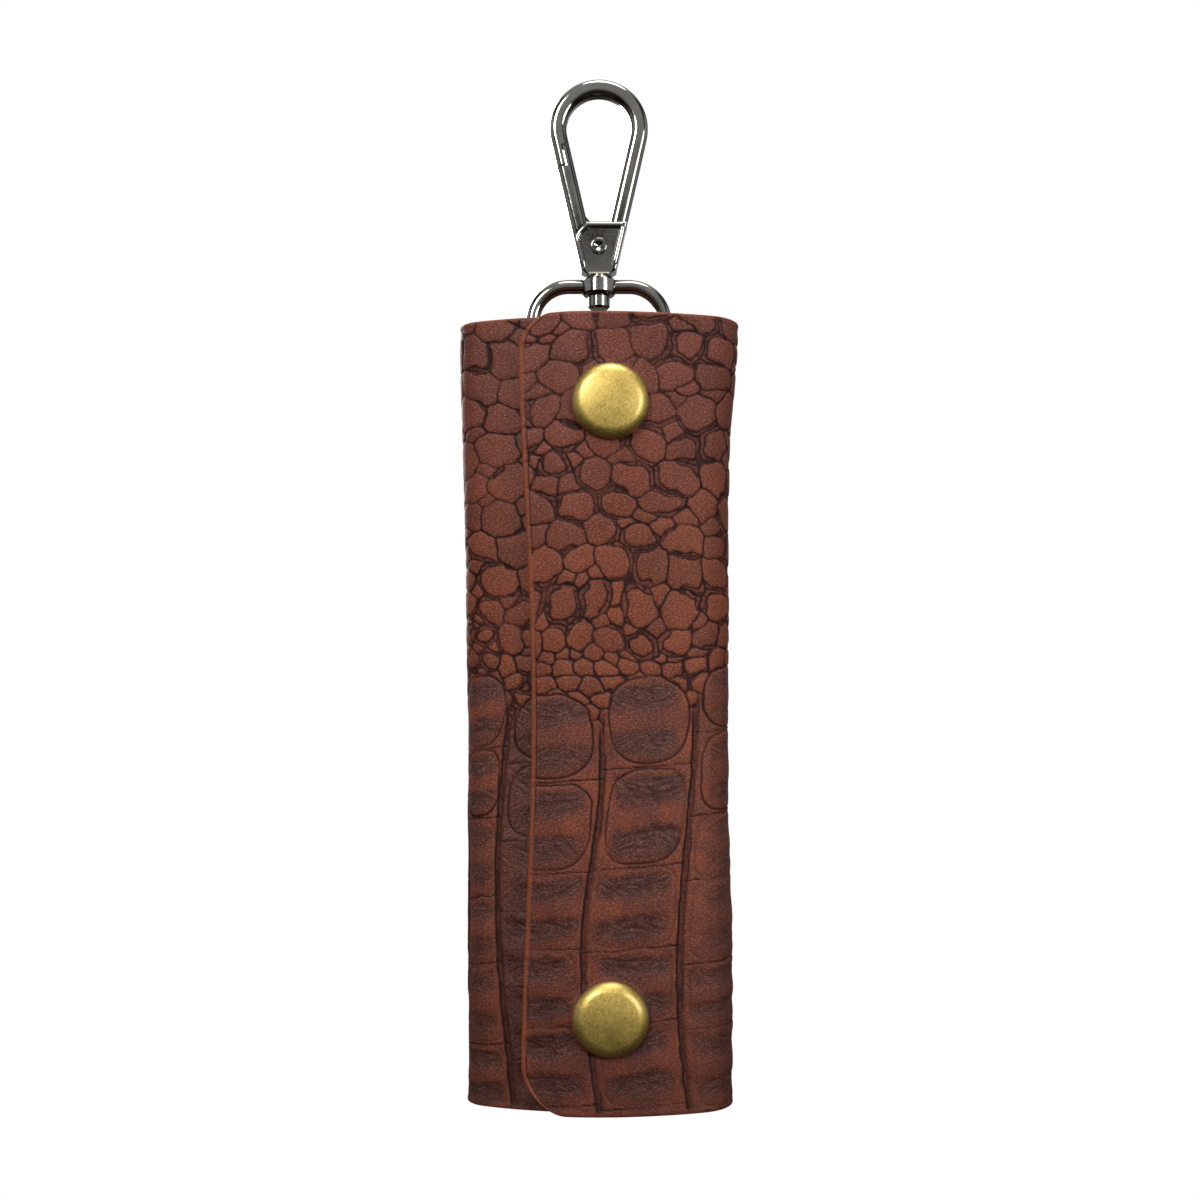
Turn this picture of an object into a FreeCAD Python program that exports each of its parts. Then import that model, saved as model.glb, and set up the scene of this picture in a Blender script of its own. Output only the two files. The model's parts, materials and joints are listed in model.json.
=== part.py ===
"""Key case: an oval wrap of embossed leather, closed by two snaps, hung on a swivel trigger hook.

Frame, in millimetres: +Z up towards the hook, +X to the right as the case is seen from its front,
the front faces -Y. The origin is the centre of the hook's bow, in the hook's middle plane.
"""
import FreeCAD, Part
import math
import os
import Sketcher

doc = FreeCAD.newDocument("key_case")
sheet = doc.addObject("Spreadsheet::Sheet", "Sizes")

SIZES = {
    # Hook: a flat cast bow on two straight arms, the left one being the gate.
    "bow_radius": 5.6,
    "bar_width": 2.9,
    "bar_depth": 3.4,
    "bar_round": 1.1,
    "arm_lean": 13.0,
    "body_top": 16.4,
    "body_bottom": 25.2,
    "body_depth": 4.4,
    "body_chamfer": 0.7,
    "rim_width": 1.0,
    "rim_round": 0.35,
    "rim_slope": 30.0,
    "face_recess": 0.5,
    "pivot_drop": 20.5,
    "pin_radius": 1.45,
    "pin_dimple": 0.85,
    "pin_ring": 1.9,
    "pin_groove": 0.25,
    "pin_rise": 0.3,
    "pin_round": 0.3,
    "running_gap": 0.08,
    "slot_width": 1.8,
    "slot_gap": 0.1,
    "knuckle_radius": 2.2,
    "shoulder_radius": 4.5,
    "gate_gap": 0.25,
    "lap_gap": 0.45,
    "lap_outer": 15.2,
    "lap_inner": 18.6,
    "tip_gap": 0.5,
    "spring_reach": 2.9,
    "spring_radius": 0.5,
    "spring_wire": 0.13,
    "spring_turns": 2.5,
    "spring_room": 2.3,
    # Swivel: a headed post through the collar of a wire loop.
    "post_radius": 1.45,
    "post_top": 23.2,
    "post_head": 1.9,
    "post_head_length": 2.1,
    "collar_radius": 3.0,
    "collar_top": 25.8,
    "collar_length": 3.0,
    "collar_chamfer": 0.45,
    "collar_play": 0.2,
    "wire_radius": 1.2,
    "loop_width": 22.9,
    "loop_drop": 27.2,
    "loop_height": 13.9,
    "loop_shoulder": 6.2,
    "loop_corner": 2.6,
    # Leather wrap: four arcs, with the flap lying over the under panel at the front.
    # The reach is from the middle to the right side, and the faces' own radius follows from it.
    "leather": 1.9,
    "layer_gap": 1.3,
    "fold_gap": 0.1,
    "case_drop": 35.1,
    "case_length": 132.2,
    "case_depth": 22.0,
    "case_reach": 22.14,
    "right_radius": 8.4,
    "left_radius": 5.6,
    "flap_edge": 12.3,
    "flap_corner_top": 6.0,
    "flap_corner_bottom": 8.5,
    "under_edge": 11.0,
    "under_corner": 3.0,
    # Snaps: cap and socket on the flap, stud and eyelet on the under panel.
    "snap_offset": 1.9,
    "snap_from_top": 14.9,
    "snap_from_bottom": 16.2,
    "cap_radius": 6.25,
    "cap_height": 2.2,
    "cap_face": 4.5,
    "cap_crown": 0.4,
    "cap_skirt": 0.4,
    "cap_wall": 0.5,
    "rivet_tube": 1.6,
    "tube_bore": 0.9,
    "socket_radius": 5.4,
    "socket_height": 1.8,
    "socket_plate": 0.4,
    "socket_cavity": 2.9,
    "socket_mouth": 2.47,
    "socket_lip": 0.15,
    "socket_dent": 0.45,
    "catch_wire": 0.25,
    "catch_gap": 0.12,
    "catch_sweep": 300.0,
    "stud_radius": 4.6,
    "stud_plate": 0.35,
    "stud_dent": 0.5,
    "stud_head": 2.2,
    "stud_neck": 1.95,
    "stud_height": 1.25,
    "stud_wall": 0.35,
    "eyelet_radius": 4.2,
    "eyelet_plate": 0.5,
    "eyelet_dent": 0.25,
    "seat_gap": 0.02,
    # Inner strap: folded round the loop above and the key ring below, on two rivets.
    "strap": 1.6,
    "strap_width": 16.0,
    "strap_tail": 9.0,
    "eye_gap": 0.15,
    "ring_eye": 2.7,
    "rivet_first": 7.4,
    "rivet_pitch": 9.0,
    "ring_eye_drop": 25.4,
    "rivet_head": 4.0,
    "rivet_dome": 1.7,
    "rivet_skirt": 0.35,
    "rivet_shank": 1.3,
    # Split key ring: two turns of flat wire.
    "ring_radius": 12.5,
    "ring_band": 1.9,
    "ring_wire": 1.15,
    "ring_gap": 0.12,
}


def fill_sheet():
    for row, (name, value) in enumerate(SIZES.items(), start=1):
        sheet.set(f"A{row}", name)
        sheet.set(f"B{row}", str(value))
        sheet.setAlias(f"B{row}", name)
    doc.recompute()


def bind(text):
    """Turns the bare size names of a formula into references to the sheet."""
    words = []
    word = ""
    for letter in text + " ":
        if letter.isalnum() or letter == "_":
            word += letter
            continue
        words.append(f"Sizes.{word}" if word in SIZES else word)
        words.append(letter)
        word = ""
    return "".join(words).strip()


def value(formula):
    """Works a formula out in the sheet, as a plain number."""
    result = sheet.evalExpression(bind(formula))
    return float(getattr(result, "Value", result))


fill_sheet()

# Formulas that several pieces share.
BOW_OUTER = "(bow_radius + bar_width)"
PIVOT_ASIDE = "(pivot_drop * sin(arm_lean))"
ARM_INNER = f"(bow_radius - {PIVOT_ASIDE})"
ARM_OUTER = f"({BOW_OUTER} - {PIVOT_ASIDE})"
LOOP_BAR = "(loop_drop + loop_height)"
STRAP_BACK = "(wire_radius + eye_gap + strap)"
SIDE_ROOM = "(case_depth - 2 * right_radius)"
FACE = f"((case_depth^2 / 4 + case_reach * (case_reach - 2 * right_radius)) / {SIDE_ROOM})"
BACK_INNER_RADIUS = f"({FACE} - leather)"
STRAP_SAG = f"({BACK_INNER_RADIUS} - sqrt({BACK_INNER_RADIUS}^2 - (strap_width / 2)^2))"
BACK_OUTER = f"({STRAP_BACK} + {STRAP_SAG} + seat_gap + leather)"
CASE_MIDDLE = f"({BACK_OUTER} - case_depth / 2)"
ARC_SHIFT = f"({FACE} - case_depth / 2)"
FRONT_CENTRE = f"({CASE_MIDDLE} + {ARC_SHIFT})"
LAYER = "(leather + layer_gap)"
UNDER_RADIUS = f"({FACE} - {LAYER})"
RIGHT_X = "(case_reach - right_radius)"
LEFT_Y = f"({LAYER} * (2 * {FACE} - {LAYER} - 2 * left_radius) / (4 * {ARC_SHIFT}))"
LEFT_X = f"(-sqrt(({FACE} - left_radius)^2 - ({LEFT_Y} + {ARC_SHIFT})^2))"
CASE_BOTTOM = "(case_drop + case_length)"
SNAP_DROPS = {
    "upper": "(case_drop + snap_from_top)",
    "lower": f"({CASE_BOTTOM} - snap_from_bottom)",
}
SNAP_TURN = f"asin(snap_offset / {FACE})"
RING_EYE_Y = f"({STRAP_BACK} - ring_eye - strap)"
RING_EYE_DROP = f"({LOOP_BAR} + ring_eye_drop)"
RIVET_DROPS = {
    "upper": f"({LOOP_BAR} + rivet_first)",
    "lower": f"({LOOP_BAR} + rivet_first + rivet_pitch)",
}


def new_body(label):
    body = doc.addObject("PartDesign::Body", label)
    body.Label = label
    return body


def new_sketch(body, name, plane, lift="0", lean=0.0):
    """A sketch on one of the body's origin planes, lifted along its normal by a formula, or leaning."""
    sketch = body.newObject("Sketcher::SketchObject", f"{body.Label}_{name}")
    support = next(part for part in body.Origin.OriginFeatures if part.Role == plane)
    sketch.AttachmentSupport = [(support, "")]
    sketch.MapMode = "FlatFace"
    height = FreeCAD.Vector(0, 0, value(lift))
    turned = FreeCAD.Rotation(FreeCAD.Vector(0, 1, 0), lean)
    sketch.AttachmentOffset = FreeCAD.Placement(turned.multVec(height), turned)
    if not lean:
        sketch.setExpression("AttachmentOffset.Base.z", bind(lift))
    return sketch


def hold_point(sketch, geometry, end, formulas):
    """Fixes one end of a line or arc at a place given by two formulas."""
    for kind, formula in zip(("DistanceX", "DistanceY"), formulas):
        held = Sketcher.Constraint(kind, -1, 1, geometry, end, value(formula))
        index = sketch.addConstraint(held)
        sketch.setExpression(f"Constraints[{index}]", bind(formula))


def arc_between(start, finish, radius, way):
    """The short arc from start to finish, which runs counterclockwise (+1) or clockwise (-1)."""
    chord = finish - start
    inward = FreeCAD.Vector(-chord.y, chord.x, 0).normalize() * way
    centre = (start + finish) * 0.5 + inward * math.sqrt(radius ** 2 - (chord.Length / 2) ** 2)
    first, last = (start, finish) if way > 0 else (finish, start)
    first_angle = math.atan2(first.y - centre.y, first.x - centre.x)
    last_angle = math.atan2(last.y - centre.y, last.x - centre.x)
    circle = Part.Circle(centre, FreeCAD.Vector(0, 0, 1), radius)
    return Part.ArcOfCircle(circle, first_angle, last_angle)


def draw(sketch, outline, closed=True):
    """Draws an outline: each entry is (x, y) or (x, y, radius, way) for an arc to the next point."""
    places = [FreeCAD.Vector(value(point[0]), value(point[1]), 0) for point in outline]
    count = len(outline) if closed else len(outline) - 1
    base = sketch.GeometryCount
    ends = []
    for step in range(count):
        start = places[step]
        finish = places[(step + 1) % len(outline)]
        if len(outline[step]) == 4:
            radius, way = outline[step][2:]
            sketch.addGeometry(arc_between(start, finish, value(radius), way))
            ends.append((1, 2) if way > 0 else (2, 1))
            index = sketch.addConstraint(Sketcher.Constraint("Radius", base + step, value(radius)))
            sketch.setExpression(f"Constraints[{index}]", bind(radius))
        else:
            sketch.addGeometry(Part.LineSegment(start, finish))
            ends.append((1, 2))
    for step in range(count):
        hold_point(sketch, base + step, ends[step][0], outline[step][:2])
        after = step + 1
        if not closed and after == count:
            hold_point(sketch, base + step, ends[step][1], outline[after][:2])
            continue
        after %= count
        meet = Sketcher.Constraint("Coincident", base + step, ends[step][1], base + after, ends[after][0])
        sketch.addConstraint(meet)
    return sketch


def draw_circle(sketch, x, y, radius):
    centre = FreeCAD.Vector(value(x), value(y), 0)
    circle = sketch.addGeometry(Part.Circle(centre, FreeCAD.Vector(0, 0, 1), value(radius)))
    hold_point(sketch, circle, 3, (x, y))
    index = sketch.addConstraint(Sketcher.Constraint("Radius", circle, value(radius)))
    sketch.setExpression(f"Constraints[{index}]", bind(radius))
    return sketch


def pad(body, sketch, length, middle=False):
    feature = body.newObject("PartDesign::Pad", f"{sketch.Label}_pad")
    feature.Profile = sketch
    feature.setExpression("Length", bind(length))
    feature.Midplane = middle
    doc.recompute()
    return feature


def cut(body, sketch, length, middle=False, outward=False, slope="0"):
    """A pocket along the sketch's normal, which has to take some material away."""
    before = body.Shape.Volume
    feature = body.newObject("PartDesign::Pocket", f"{sketch.Label}_cut")
    feature.Profile = sketch
    feature.setExpression("Length", bind(length))
    feature.setExpression("TaperAngle", bind(slope))
    feature.Midplane = middle
    feature.Reversed = outward
    doc.recompute()
    assert body.Shape.Volume < before - 1e-4, f"{sketch.Label} cuts nothing"
    return feature


def turn(body, sketch, angle=360.0):
    feature = body.newObject("PartDesign::Revolution", f"{sketch.Label}_turned")
    feature.Profile = sketch
    feature.ReferenceAxis = (sketch, ["V_Axis"])
    feature.Angle = angle
    doc.recompute()
    return feature


def soften(body, base, radius, chosen, kind="PartDesign::Fillet"):
    """Rounds or chamfers the edges of the body that the test picks."""
    names = [f"Edge{number}" for number, edge in enumerate(base.Shape.Edges, start=1) if chosen(edge)]
    feature = body.newObject(kind, f"{base.Label}_edges")
    feature.Base = (base, names)
    feature.setExpression("Size" if kind.endswith("Chamfer") else "Radius", bind(radius))
    doc.recompute()
    return feature


def dome_radius(reach, rise):
    """The radius of a dome that is level on its axis and falls by a rise at a reach from it."""
    return f"(({reach})^2 + ({rise})^2) / (2 * ({rise}))"


def turned_body(label, outline, angle=360.0):
    """A round piece: (radius, height) points turned about the piece's own axis."""
    body = new_body(label)
    turn(body, draw(new_sketch(body, "profile", "XZ_Plane"), outline), angle)
    return body


def arm(aside, along):
    """A point of the gate's arm, measured from the pivot: outward of the arm, and up along it."""
    across = f"-({aside}) * cos(arm_lean) - ({along}) * sin(arm_lean)"
    height = f"-pivot_drop + ({along}) * cos(arm_lean) - ({aside}) * sin(arm_lean)"
    return across, height


def teardrop(radius, bottom):
    """The bow's arc and its two leaning arms, down to a level bottom."""
    side = f"{radius} * cos(arm_lean)"
    shoulder = f"-{radius} * sin(arm_lean)"
    foot = f"({radius} - {bottom} * sin(arm_lean)) / cos(arm_lean)"
    return [
        (side, shoulder, radius, 1),
        ("0", radius, radius, 1),
        (f"-({side})", shoulder),
        (f"-({foot})", f"-({bottom})"),
        (foot, f"-({bottom})"),
    ]


def hook_frame():
    body = new_body("hook_frame")
    ring = new_sketch(body, "ring", "XZ_Plane")
    draw(ring, teardrop(BOW_OUTER, "body_bottom"))
    draw(ring, teardrop("bow_radius", "body_top"))
    bow = pad(body, ring, "bar_depth", middle=True)
    lowest = -value("body_top") + 0.1

    def on_bow_face(edge):
        box = edge.BoundBox
        flat = abs(abs(box.YMin) - value("bar_depth / 2")) < 1e-4 and box.YLength < 1e-4
        return flat and box.ZMax > lowest

    soften(body, bow, "bar_round", on_bow_face)
    foot = new_sketch(body, "body", "XZ_Plane")
    width = "({0} - {1} * sin(arm_lean)) / cos(arm_lean)"
    top_half = width.format(BOW_OUTER, "body_top")
    bottom_half = width.format(BOW_OUTER, "body_bottom")
    draw(foot, [
        (bottom_half, "-body_bottom"),
        (top_half, "-body_top"),
        (f"-({top_half})", "-body_top"),
        (f"-({bottom_half})", "-body_bottom"),
    ])
    block = pad(body, foot, "body_depth", middle=True)

    def at_foot(edge):
        box = edge.BoundBox
        level = abs(box.ZMin + value("body_bottom")) < 1e-4 and box.ZLength < 1e-4
        return level and abs(abs(box.YMin) - value("body_depth / 2")) < 1e-4

    block = soften(body, block, "body_chamfer", at_foot, "PartDesign::Chamfer")

    def on_rim(edge):
        box = edge.BoundBox
        face = box.YLength < 1e-4 and abs(abs(box.YMin) - value("body_depth / 2")) < 1e-4
        return face and box.ZMax > -value("pivot_drop")

    soften(body, block, "rim_round", on_rim)
    for side in (1, -1):
        recess = new_sketch(body, f"recess_{side + 2}", "XZ_Plane",
                            f"{side} * (body_depth / 2 - face_recess)")
        inner_top = f"({top_half} - rim_width / cos(arm_lean))"
        inner_foot = f"({bottom_half} - rim_width / cos(arm_lean))"
        draw(recess, [
            (inner_foot, "-body_bottom - 1"),
            (inner_top, "-body_top - rim_width"),
            (f"-{inner_top} + rim_width", "-body_top - rim_width"),
            (f"-{inner_top}", "-body_top - 2 * rim_width"),
            (f"-{inner_foot}", "-body_bottom - 1"),
        ])
        cut(body, recess, "face_recess + 0.5", outward=side > 0, slope="rim_slope")
        groove = new_sketch(body, f"groove_{side + 2}", "XZ_Plane",
                            f"{side} * (body_depth / 2 - face_recess - pin_groove)")
        draw_circle(groove, "0", "-pivot_drop", "pin_ring")
        cut(body, groove, "pin_groove + 0.1", outward=side > 0)
    slot = new_sketch(body, "slot", "XZ_Plane")
    draw(slot, [
        arm("-spring_room", "-knuckle_radius - gate_gap"),
        arm("knuckle_radius + gate_gap", "-knuckle_radius - gate_gap"),
        arm("knuckle_radius + gate_gap", "0"),
        arm(f"{ARM_OUTER} + 1", "1.5"),
        arm(f"{ARM_OUTER} + 1", "shoulder_radius + 2"),
        arm("-spring_room", "shoulder_radius + 2"),
    ])
    cut(body, slot, "slot_width", middle=True)
    mouth = new_sketch(body, "mouth", "XZ_Plane")
    near = f"({ARM_INNER} - gate_gap)"
    far = f"({ARM_OUTER} + 0.4)"
    half = f"(({ARM_INNER} + {ARM_OUTER}) / 2)"
    draw(mouth, [
        (*arm(near, f"sqrt(shoulder_radius^2 - {near}^2)"), "shoulder_radius", 1),
        arm(far, f"sqrt(shoulder_radius^2 - {far}^2)"),
        arm(far, "lap_outer"),
        arm(half, "lap_outer"),
        arm(half, "lap_inner"),
        arm(near, "lap_inner"),
    ])
    cut(body, mouth, "body_depth + 2", middle=True)
    pivot = new_sketch(body, "pivot", "XZ_Plane")
    draw_circle(pivot, "0", "-pivot_drop", "pin_radius")
    cut(body, pivot, "body_depth + 2", middle=True)
    socket = new_sketch(body, "post_hole", "XY_Plane", "-body_bottom - 1")
    draw_circle(socket, "0", "0", "post_radius")
    cut(body, socket, "body_bottom + 1 - post_top", outward=True)
    return body


def hook_gate():
    body = new_body("hook_gate")
    bar = new_sketch(body, "bar", "XZ_Plane")
    root = "(shoulder_radius + gate_gap)"
    middle = f"(({ARM_INNER} + {ARM_OUTER}) / 2 - gate_gap)"
    draw(bar, [
        (*arm(ARM_INNER, f"sqrt({root}^2 - {ARM_INNER}^2)"), root, 1),
        arm(ARM_OUTER, f"sqrt({root}^2 - {ARM_OUTER}^2)"),
        arm(ARM_OUTER, "lap_outer - lap_gap"),
        arm(middle, "lap_outer - lap_gap"),
        arm(middle, "lap_inner - tip_gap"),
        arm(ARM_INNER, "lap_inner - tip_gap"),
    ])
    limb = pad(body, bar, "bar_depth", middle=True)
    lean = math.radians(value("arm_lean"))

    def along_arm(edge):
        box = edge.BoundBox
        flat = box.YLength < 1e-4
        slope = abs(abs(box.XLength) - box.ZLength * math.tan(lean)) < 1e-3
        outer = box.ZLength > value("lap_outer") * 0.5
        return flat and slope and outer

    soften(body, limb, "bar_round", along_arm)
    tongue = new_sketch(body, "tongue", "XZ_Plane")
    draw(tongue, [
        arm("0.2", "0"),
        arm("knuckle_radius - 0.1", "0"),
        arm(f"{ARM_OUTER} - 0.9", "shoulder_radius * 0.8"),
        arm(f"{ARM_OUTER} - 0.9", "shoulder_radius + 1.6"),
        arm("0.2 + gate_gap + 0.8", "shoulder_radius + 1.6"),
        arm("0.2", "shoulder_radius - 0.3"),
    ])
    pad(body, tongue, "slot_width - 2 * slot_gap", middle=True)
    knuckle = new_sketch(body, "knuckle", "XZ_Plane")
    draw_circle(knuckle, "0", "-pivot_drop", "knuckle_radius")
    pad(body, knuckle, "slot_width - 2 * slot_gap", middle=True)
    bore = new_sketch(body, "bore", "XZ_Plane")
    draw_circle(bore, "0", "-pivot_drop", "pin_radius + running_gap")
    cut(body, bore, "body_depth + 2", middle=True)
    return body


def gate_pin():
    """A rivet with a conical dimple in each end, across the hook's body."""
    half = "(body_depth / 2 - face_recess + pin_rise)"
    body = turned_body("gate_pin", [
        ("0", f"-{half} + 0.5"),
        ("pin_dimple", f"-{half}"),
        ("pin_radius - pin_round", f"-{half}", "pin_round", 1),
        ("pin_radius", f"-{half} + pin_round"),
        ("pin_radius", f"{half} - pin_round", "pin_round", 1),
        ("pin_radius - pin_round", half),
        ("pin_dimple", half),
        ("0", f"{half} - 0.5"),
    ])
    body.Placement = FreeCAD.Placement(FreeCAD.Vector(0, 0, 0), FreeCAD.Rotation(0, 0, 90))
    body.setExpression("Placement.Base.z", bind("-pivot_drop"))
    return body


def gate_spring():
    """A small coil between the gate's tongue and the end of the slot."""
    body = new_body("gate_spring")
    section = new_sketch(body, "section", "XZ_Plane")
    draw_circle(section, "spring_radius", "0", "spring_wire")
    coil = body.newObject("PartDesign::AdditiveHelix", "gate_spring_coil")
    coil.Profile = section
    coil.ReferenceAxis = (section, ["V_Axis"])
    coil.Mode = "pitch-turns-angle"
    free = "(spring_room + 0.2 - 2 * spring_wire - 2 * slot_gap)"
    coil.setExpression("Pitch", bind(f"{free} / spring_turns"))
    coil.setExpression("Turns", bind("spring_turns"))
    doc.recompute()
    start = arm("0.2 - spring_wire - slot_gap", "spring_reach")
    place = FreeCAD.Vector(value(start[0]), 0, value(start[1]))
    lean = FreeCAD.Rotation(FreeCAD.Vector(0, 1, 0), 90 - value("arm_lean"))
    body.Placement = FreeCAD.Placement(place, lean)
    return body


def swivel_post():
    neck = "(collar_top + collar_length + collar_play)"
    return turned_body("swivel_post", [
        ("0", "-post_top"),
        ("post_radius", "-post_top"),
        ("post_radius", f"-{neck}"),
        ("post_head", f"-{neck}"),
        ("post_head", f"-{neck} - post_head_length + 0.4"),
        ("post_head - 0.4", f"-{neck} - post_head_length"),
        ("0", f"-{neck} - post_head_length"),
    ])


def swivel_loop():
    body = new_body("swivel_loop")
    spine = new_sketch(body, "spine", "XZ_Plane")
    start = "(collar_radius + post_radius) / 2 + 0.2"
    half = "loop_width / 2"
    draw(spine, [
        (start, "-loop_drop"),
        (f"{half} - loop_shoulder", "-loop_drop", "loop_shoulder", -1),
        (half, "-loop_drop - loop_shoulder"),
        (half, f"-{LOOP_BAR} + loop_corner", "loop_corner", -1),
        (f"{half} - loop_corner", f"-{LOOP_BAR}"),
        (f"-{half} + loop_corner", f"-{LOOP_BAR}", "loop_corner", -1),
        (f"-{half}", f"-{LOOP_BAR} + loop_corner"),
        (f"-{half}", "-loop_drop - loop_shoulder", "loop_shoulder", -1),
        (f"-{half} + loop_shoulder", "-loop_drop"),
        (f"-({start})", "-loop_drop"),
    ], closed=False)
    section = new_sketch(body, "section", "YZ_Plane", start)
    draw_circle(section, "0", "-loop_drop", "wire_radius")
    wire = body.newObject("PartDesign::AdditivePipe", "swivel_loop_wire")
    wire.Profile = section
    wire.Spine = (spine, [])
    doc.recompute()
    collar = new_sketch(body, "collar", "XZ_Plane")
    bore = "(post_radius + running_gap)"
    low = "(collar_top + collar_length)"
    draw(collar, [
        (bore, "-collar_top"),
        ("collar_radius - collar_chamfer", "-collar_top"),
        ("collar_radius", "-collar_top - collar_chamfer"),
        ("collar_radius", f"-{low} + collar_chamfer"),
        ("collar_radius - collar_chamfer", f"-{low}"),
        (bore, f"-{low}"),
    ])
    turn(body, collar)
    return body


def arc_point(centre_x, centre_y, radius, direction):
    """The point at a radius from a centre, towards another point given as formulas."""
    reach = f"sqrt(({direction[0]})^2 + ({direction[1]})^2)"
    return (f"{centre_x} + {radius} * ({direction[0]}) / {reach}",
            f"{centre_y} + {radius} * ({direction[1]}) / {reach}")


RIGHT_FRONT = (RIGHT_X, f"-{ARC_SHIFT}")
RIGHT_BACK = (RIGHT_X, ARC_SHIFT)
LEFT_BACK = (LEFT_X, f"({LEFT_Y} + {ARC_SHIFT})")
LEFT_FRONT = (LEFT_X, f"({LEFT_Y} - {ARC_SHIFT})")


def along(point, direction, distance):
    """A point moved square to a radius, to leave half of the gap at a fold."""
    reach = f"sqrt(({direction[0]})^2 + ({direction[1]})^2)"
    return (f"{point[0]} + ({distance}) * (-({direction[1]})) / {reach}",
            f"{point[1]} + ({distance}) * ({direction[0]}) / {reach}")


def front_radius_point(radius, x):
    """A point of an arc about the front arc's centre, at a given x."""
    return x, f"{FRONT_CENTRE} - sqrt(({radius})^2 - ({x})^2)"


def panel_pad(body, outline):
    sheet_cut = new_sketch(body, "section", "XY_Plane", f"-{CASE_BOTTOM}")
    return pad(body, draw(sheet_cut, outline), "case_length")


def corner_at(x_sign, level):
    """Picks the short edge through the leather at a free corner."""
    def chosen(edge):
        box = edge.BoundBox
        middle = edge.CenterOfMass
        thin = edge.Length < value("leather") * 1.6 and box.ZLength < 1e-4
        return thin and abs(middle.z - level) < 1e-3 and middle.x * x_sign > 0
    return chosen


def snap_sketch(body, name, depth, radius):
    """Circles at both snaps, on a plane square to the snaps' axes at a depth under the flap's face."""
    lift = f"{FACE} - ({depth}) - {FRONT_CENTRE} * cos({SNAP_TURN})"
    sketch = new_sketch(body, name, "XZ_Plane", lift, lean=value(SNAP_TURN))
    aside = f"{FRONT_CENTRE} * sin({SNAP_TURN})"
    for drop in SNAP_DROPS.values():
        draw_circle(sketch, aside, f"-{drop}", radius)
    return sketch


def front_flap():
    body = new_body("front_flap")
    inner = f"({FACE} - leather)"
    edge = front_radius_point(FACE, "-flap_edge")
    inner_edge = front_radius_point(inner, f"-flap_edge * {inner} / {FACE}")
    fold = arc_point("0", FRONT_CENTRE, FACE, RIGHT_FRONT)
    inner_fold = arc_point("0", FRONT_CENTRE, inner, RIGHT_FRONT)
    sheet_pad = panel_pad(body, [
        (*edge, FACE, 1),
        along(fold, RIGHT_FRONT, "-fold_gap / 2"),
        (*along(inner_fold, RIGHT_FRONT, "-fold_gap / 2"), inner, -1),
        inner_edge,
    ])
    top = soften(body, sheet_pad, "flap_corner_top", corner_at(-1, -value("case_drop")))
    soften(body, top, "flap_corner_bottom", corner_at(-1, -value(CASE_BOTTOM)))
    cut(body, snap_sketch(body, "tube_holes", "-1", "rivet_tube + seat_gap"), "leather + 2")
    dents = snap_sketch(body, "socket_dents", "leather - socket_dent", "socket_radius + seat_gap")
    cut(body, dents, "leather")
    return body


def under_panel():
    body = new_body("under_panel")
    inner = f"({UNDER_RADIUS} - leather)"
    edge = front_radius_point(UNDER_RADIUS, "under_edge")
    inner_edge = front_radius_point(inner, f"under_edge * {inner} / {UNDER_RADIUS}")
    fold = arc_point("0", FRONT_CENTRE, UNDER_RADIUS, LEFT_FRONT)
    inner_fold = arc_point("0", FRONT_CENTRE, inner, LEFT_FRONT)
    sheet_pad = panel_pad(body, [
        (*along(fold, LEFT_FRONT, "fold_gap / 2"), UNDER_RADIUS, 1),
        edge,
        (*inner_edge, inner, -1),
        along(inner_fold, LEFT_FRONT, "fold_gap / 2"),
    ])
    top = soften(body, sheet_pad, "under_corner", corner_at(1, -value("case_drop")))
    soften(body, top, "under_corner", corner_at(1, -value(CASE_BOTTOM)))
    cut(body, snap_sketch(body, "tube_holes", "0", "rivet_tube + seat_gap"), "2 * case_depth / 3")
    stud_seat = f"{LAYER} + stud_dent"
    cut(body, snap_sketch(body, "stud_dents", stud_seat, "stud_radius + seat_gap"), "leather", outward=True)
    eyelet_seat = f"{LAYER} + leather - eyelet_dent"
    cut(body, snap_sketch(body, "eyelet_dents", eyelet_seat, "eyelet_radius + seat_gap"), "leather")
    return body


def back_panel():
    """The back of the wrap with both rounded sides, from one fold to the other."""
    body = new_body("back_panel")

    def path(inset):
        """Fold, right side, back, left side, fold, at a depth under the outer face."""
        right = ("right_radius" if inset == "0" else f"(right_radius - {inset})")
        left = ("left_radius" if inset == "0" else f"(left_radius - {inset})")
        left_y = f"({CASE_MIDDLE} + {LEFT_Y})"
        return [
            arc_point(RIGHT_X, CASE_MIDDLE, right, RIGHT_FRONT),
            (f"{RIGHT_X} + {right}", CASE_MIDDLE),
            arc_point(RIGHT_X, CASE_MIDDLE, right, RIGHT_BACK),
            arc_point(LEFT_X, left_y, left, LEFT_BACK),
            (f"{LEFT_X} - {left}", left_y),
            arc_point(LEFT_X, left_y, left, LEFT_FRONT),
        ], [right, right, f"({FACE} - {inset})", left, left]

    outer, outer_radii = path("0")
    inner, inner_radii = path("leather")
    outline = []
    for place, radius in zip(outer, outer_radii):
        outline.append((*place, radius, 1))
    outline[0] = (*along(outer[0], RIGHT_FRONT, "fold_gap / 2"), outer_radii[0], 1)
    outline.append(along(outer[-1], LEFT_FRONT, "-fold_gap / 2"))
    for place, radius in zip(reversed(inner), reversed(inner_radii)):
        outline.append((*place, radius, -1))
    outline[len(outer)] = (*along(inner[-1], LEFT_FRONT, "-fold_gap / 2"), inner_radii[-1], -1)
    outline.append(along(inner[0], RIGHT_FRONT, "fold_gap / 2"))
    panel_pad(body, outline)
    holes = new_sketch(body, "rivet_holes", "XZ_Plane", f"-{CASE_MIDDLE}")
    for drop in RIVET_DROPS.values():
        draw_circle(holes, "0", f"-{drop}", "rivet_shank + seat_gap")
    cut(body, holes, "case_depth")
    return body


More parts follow.
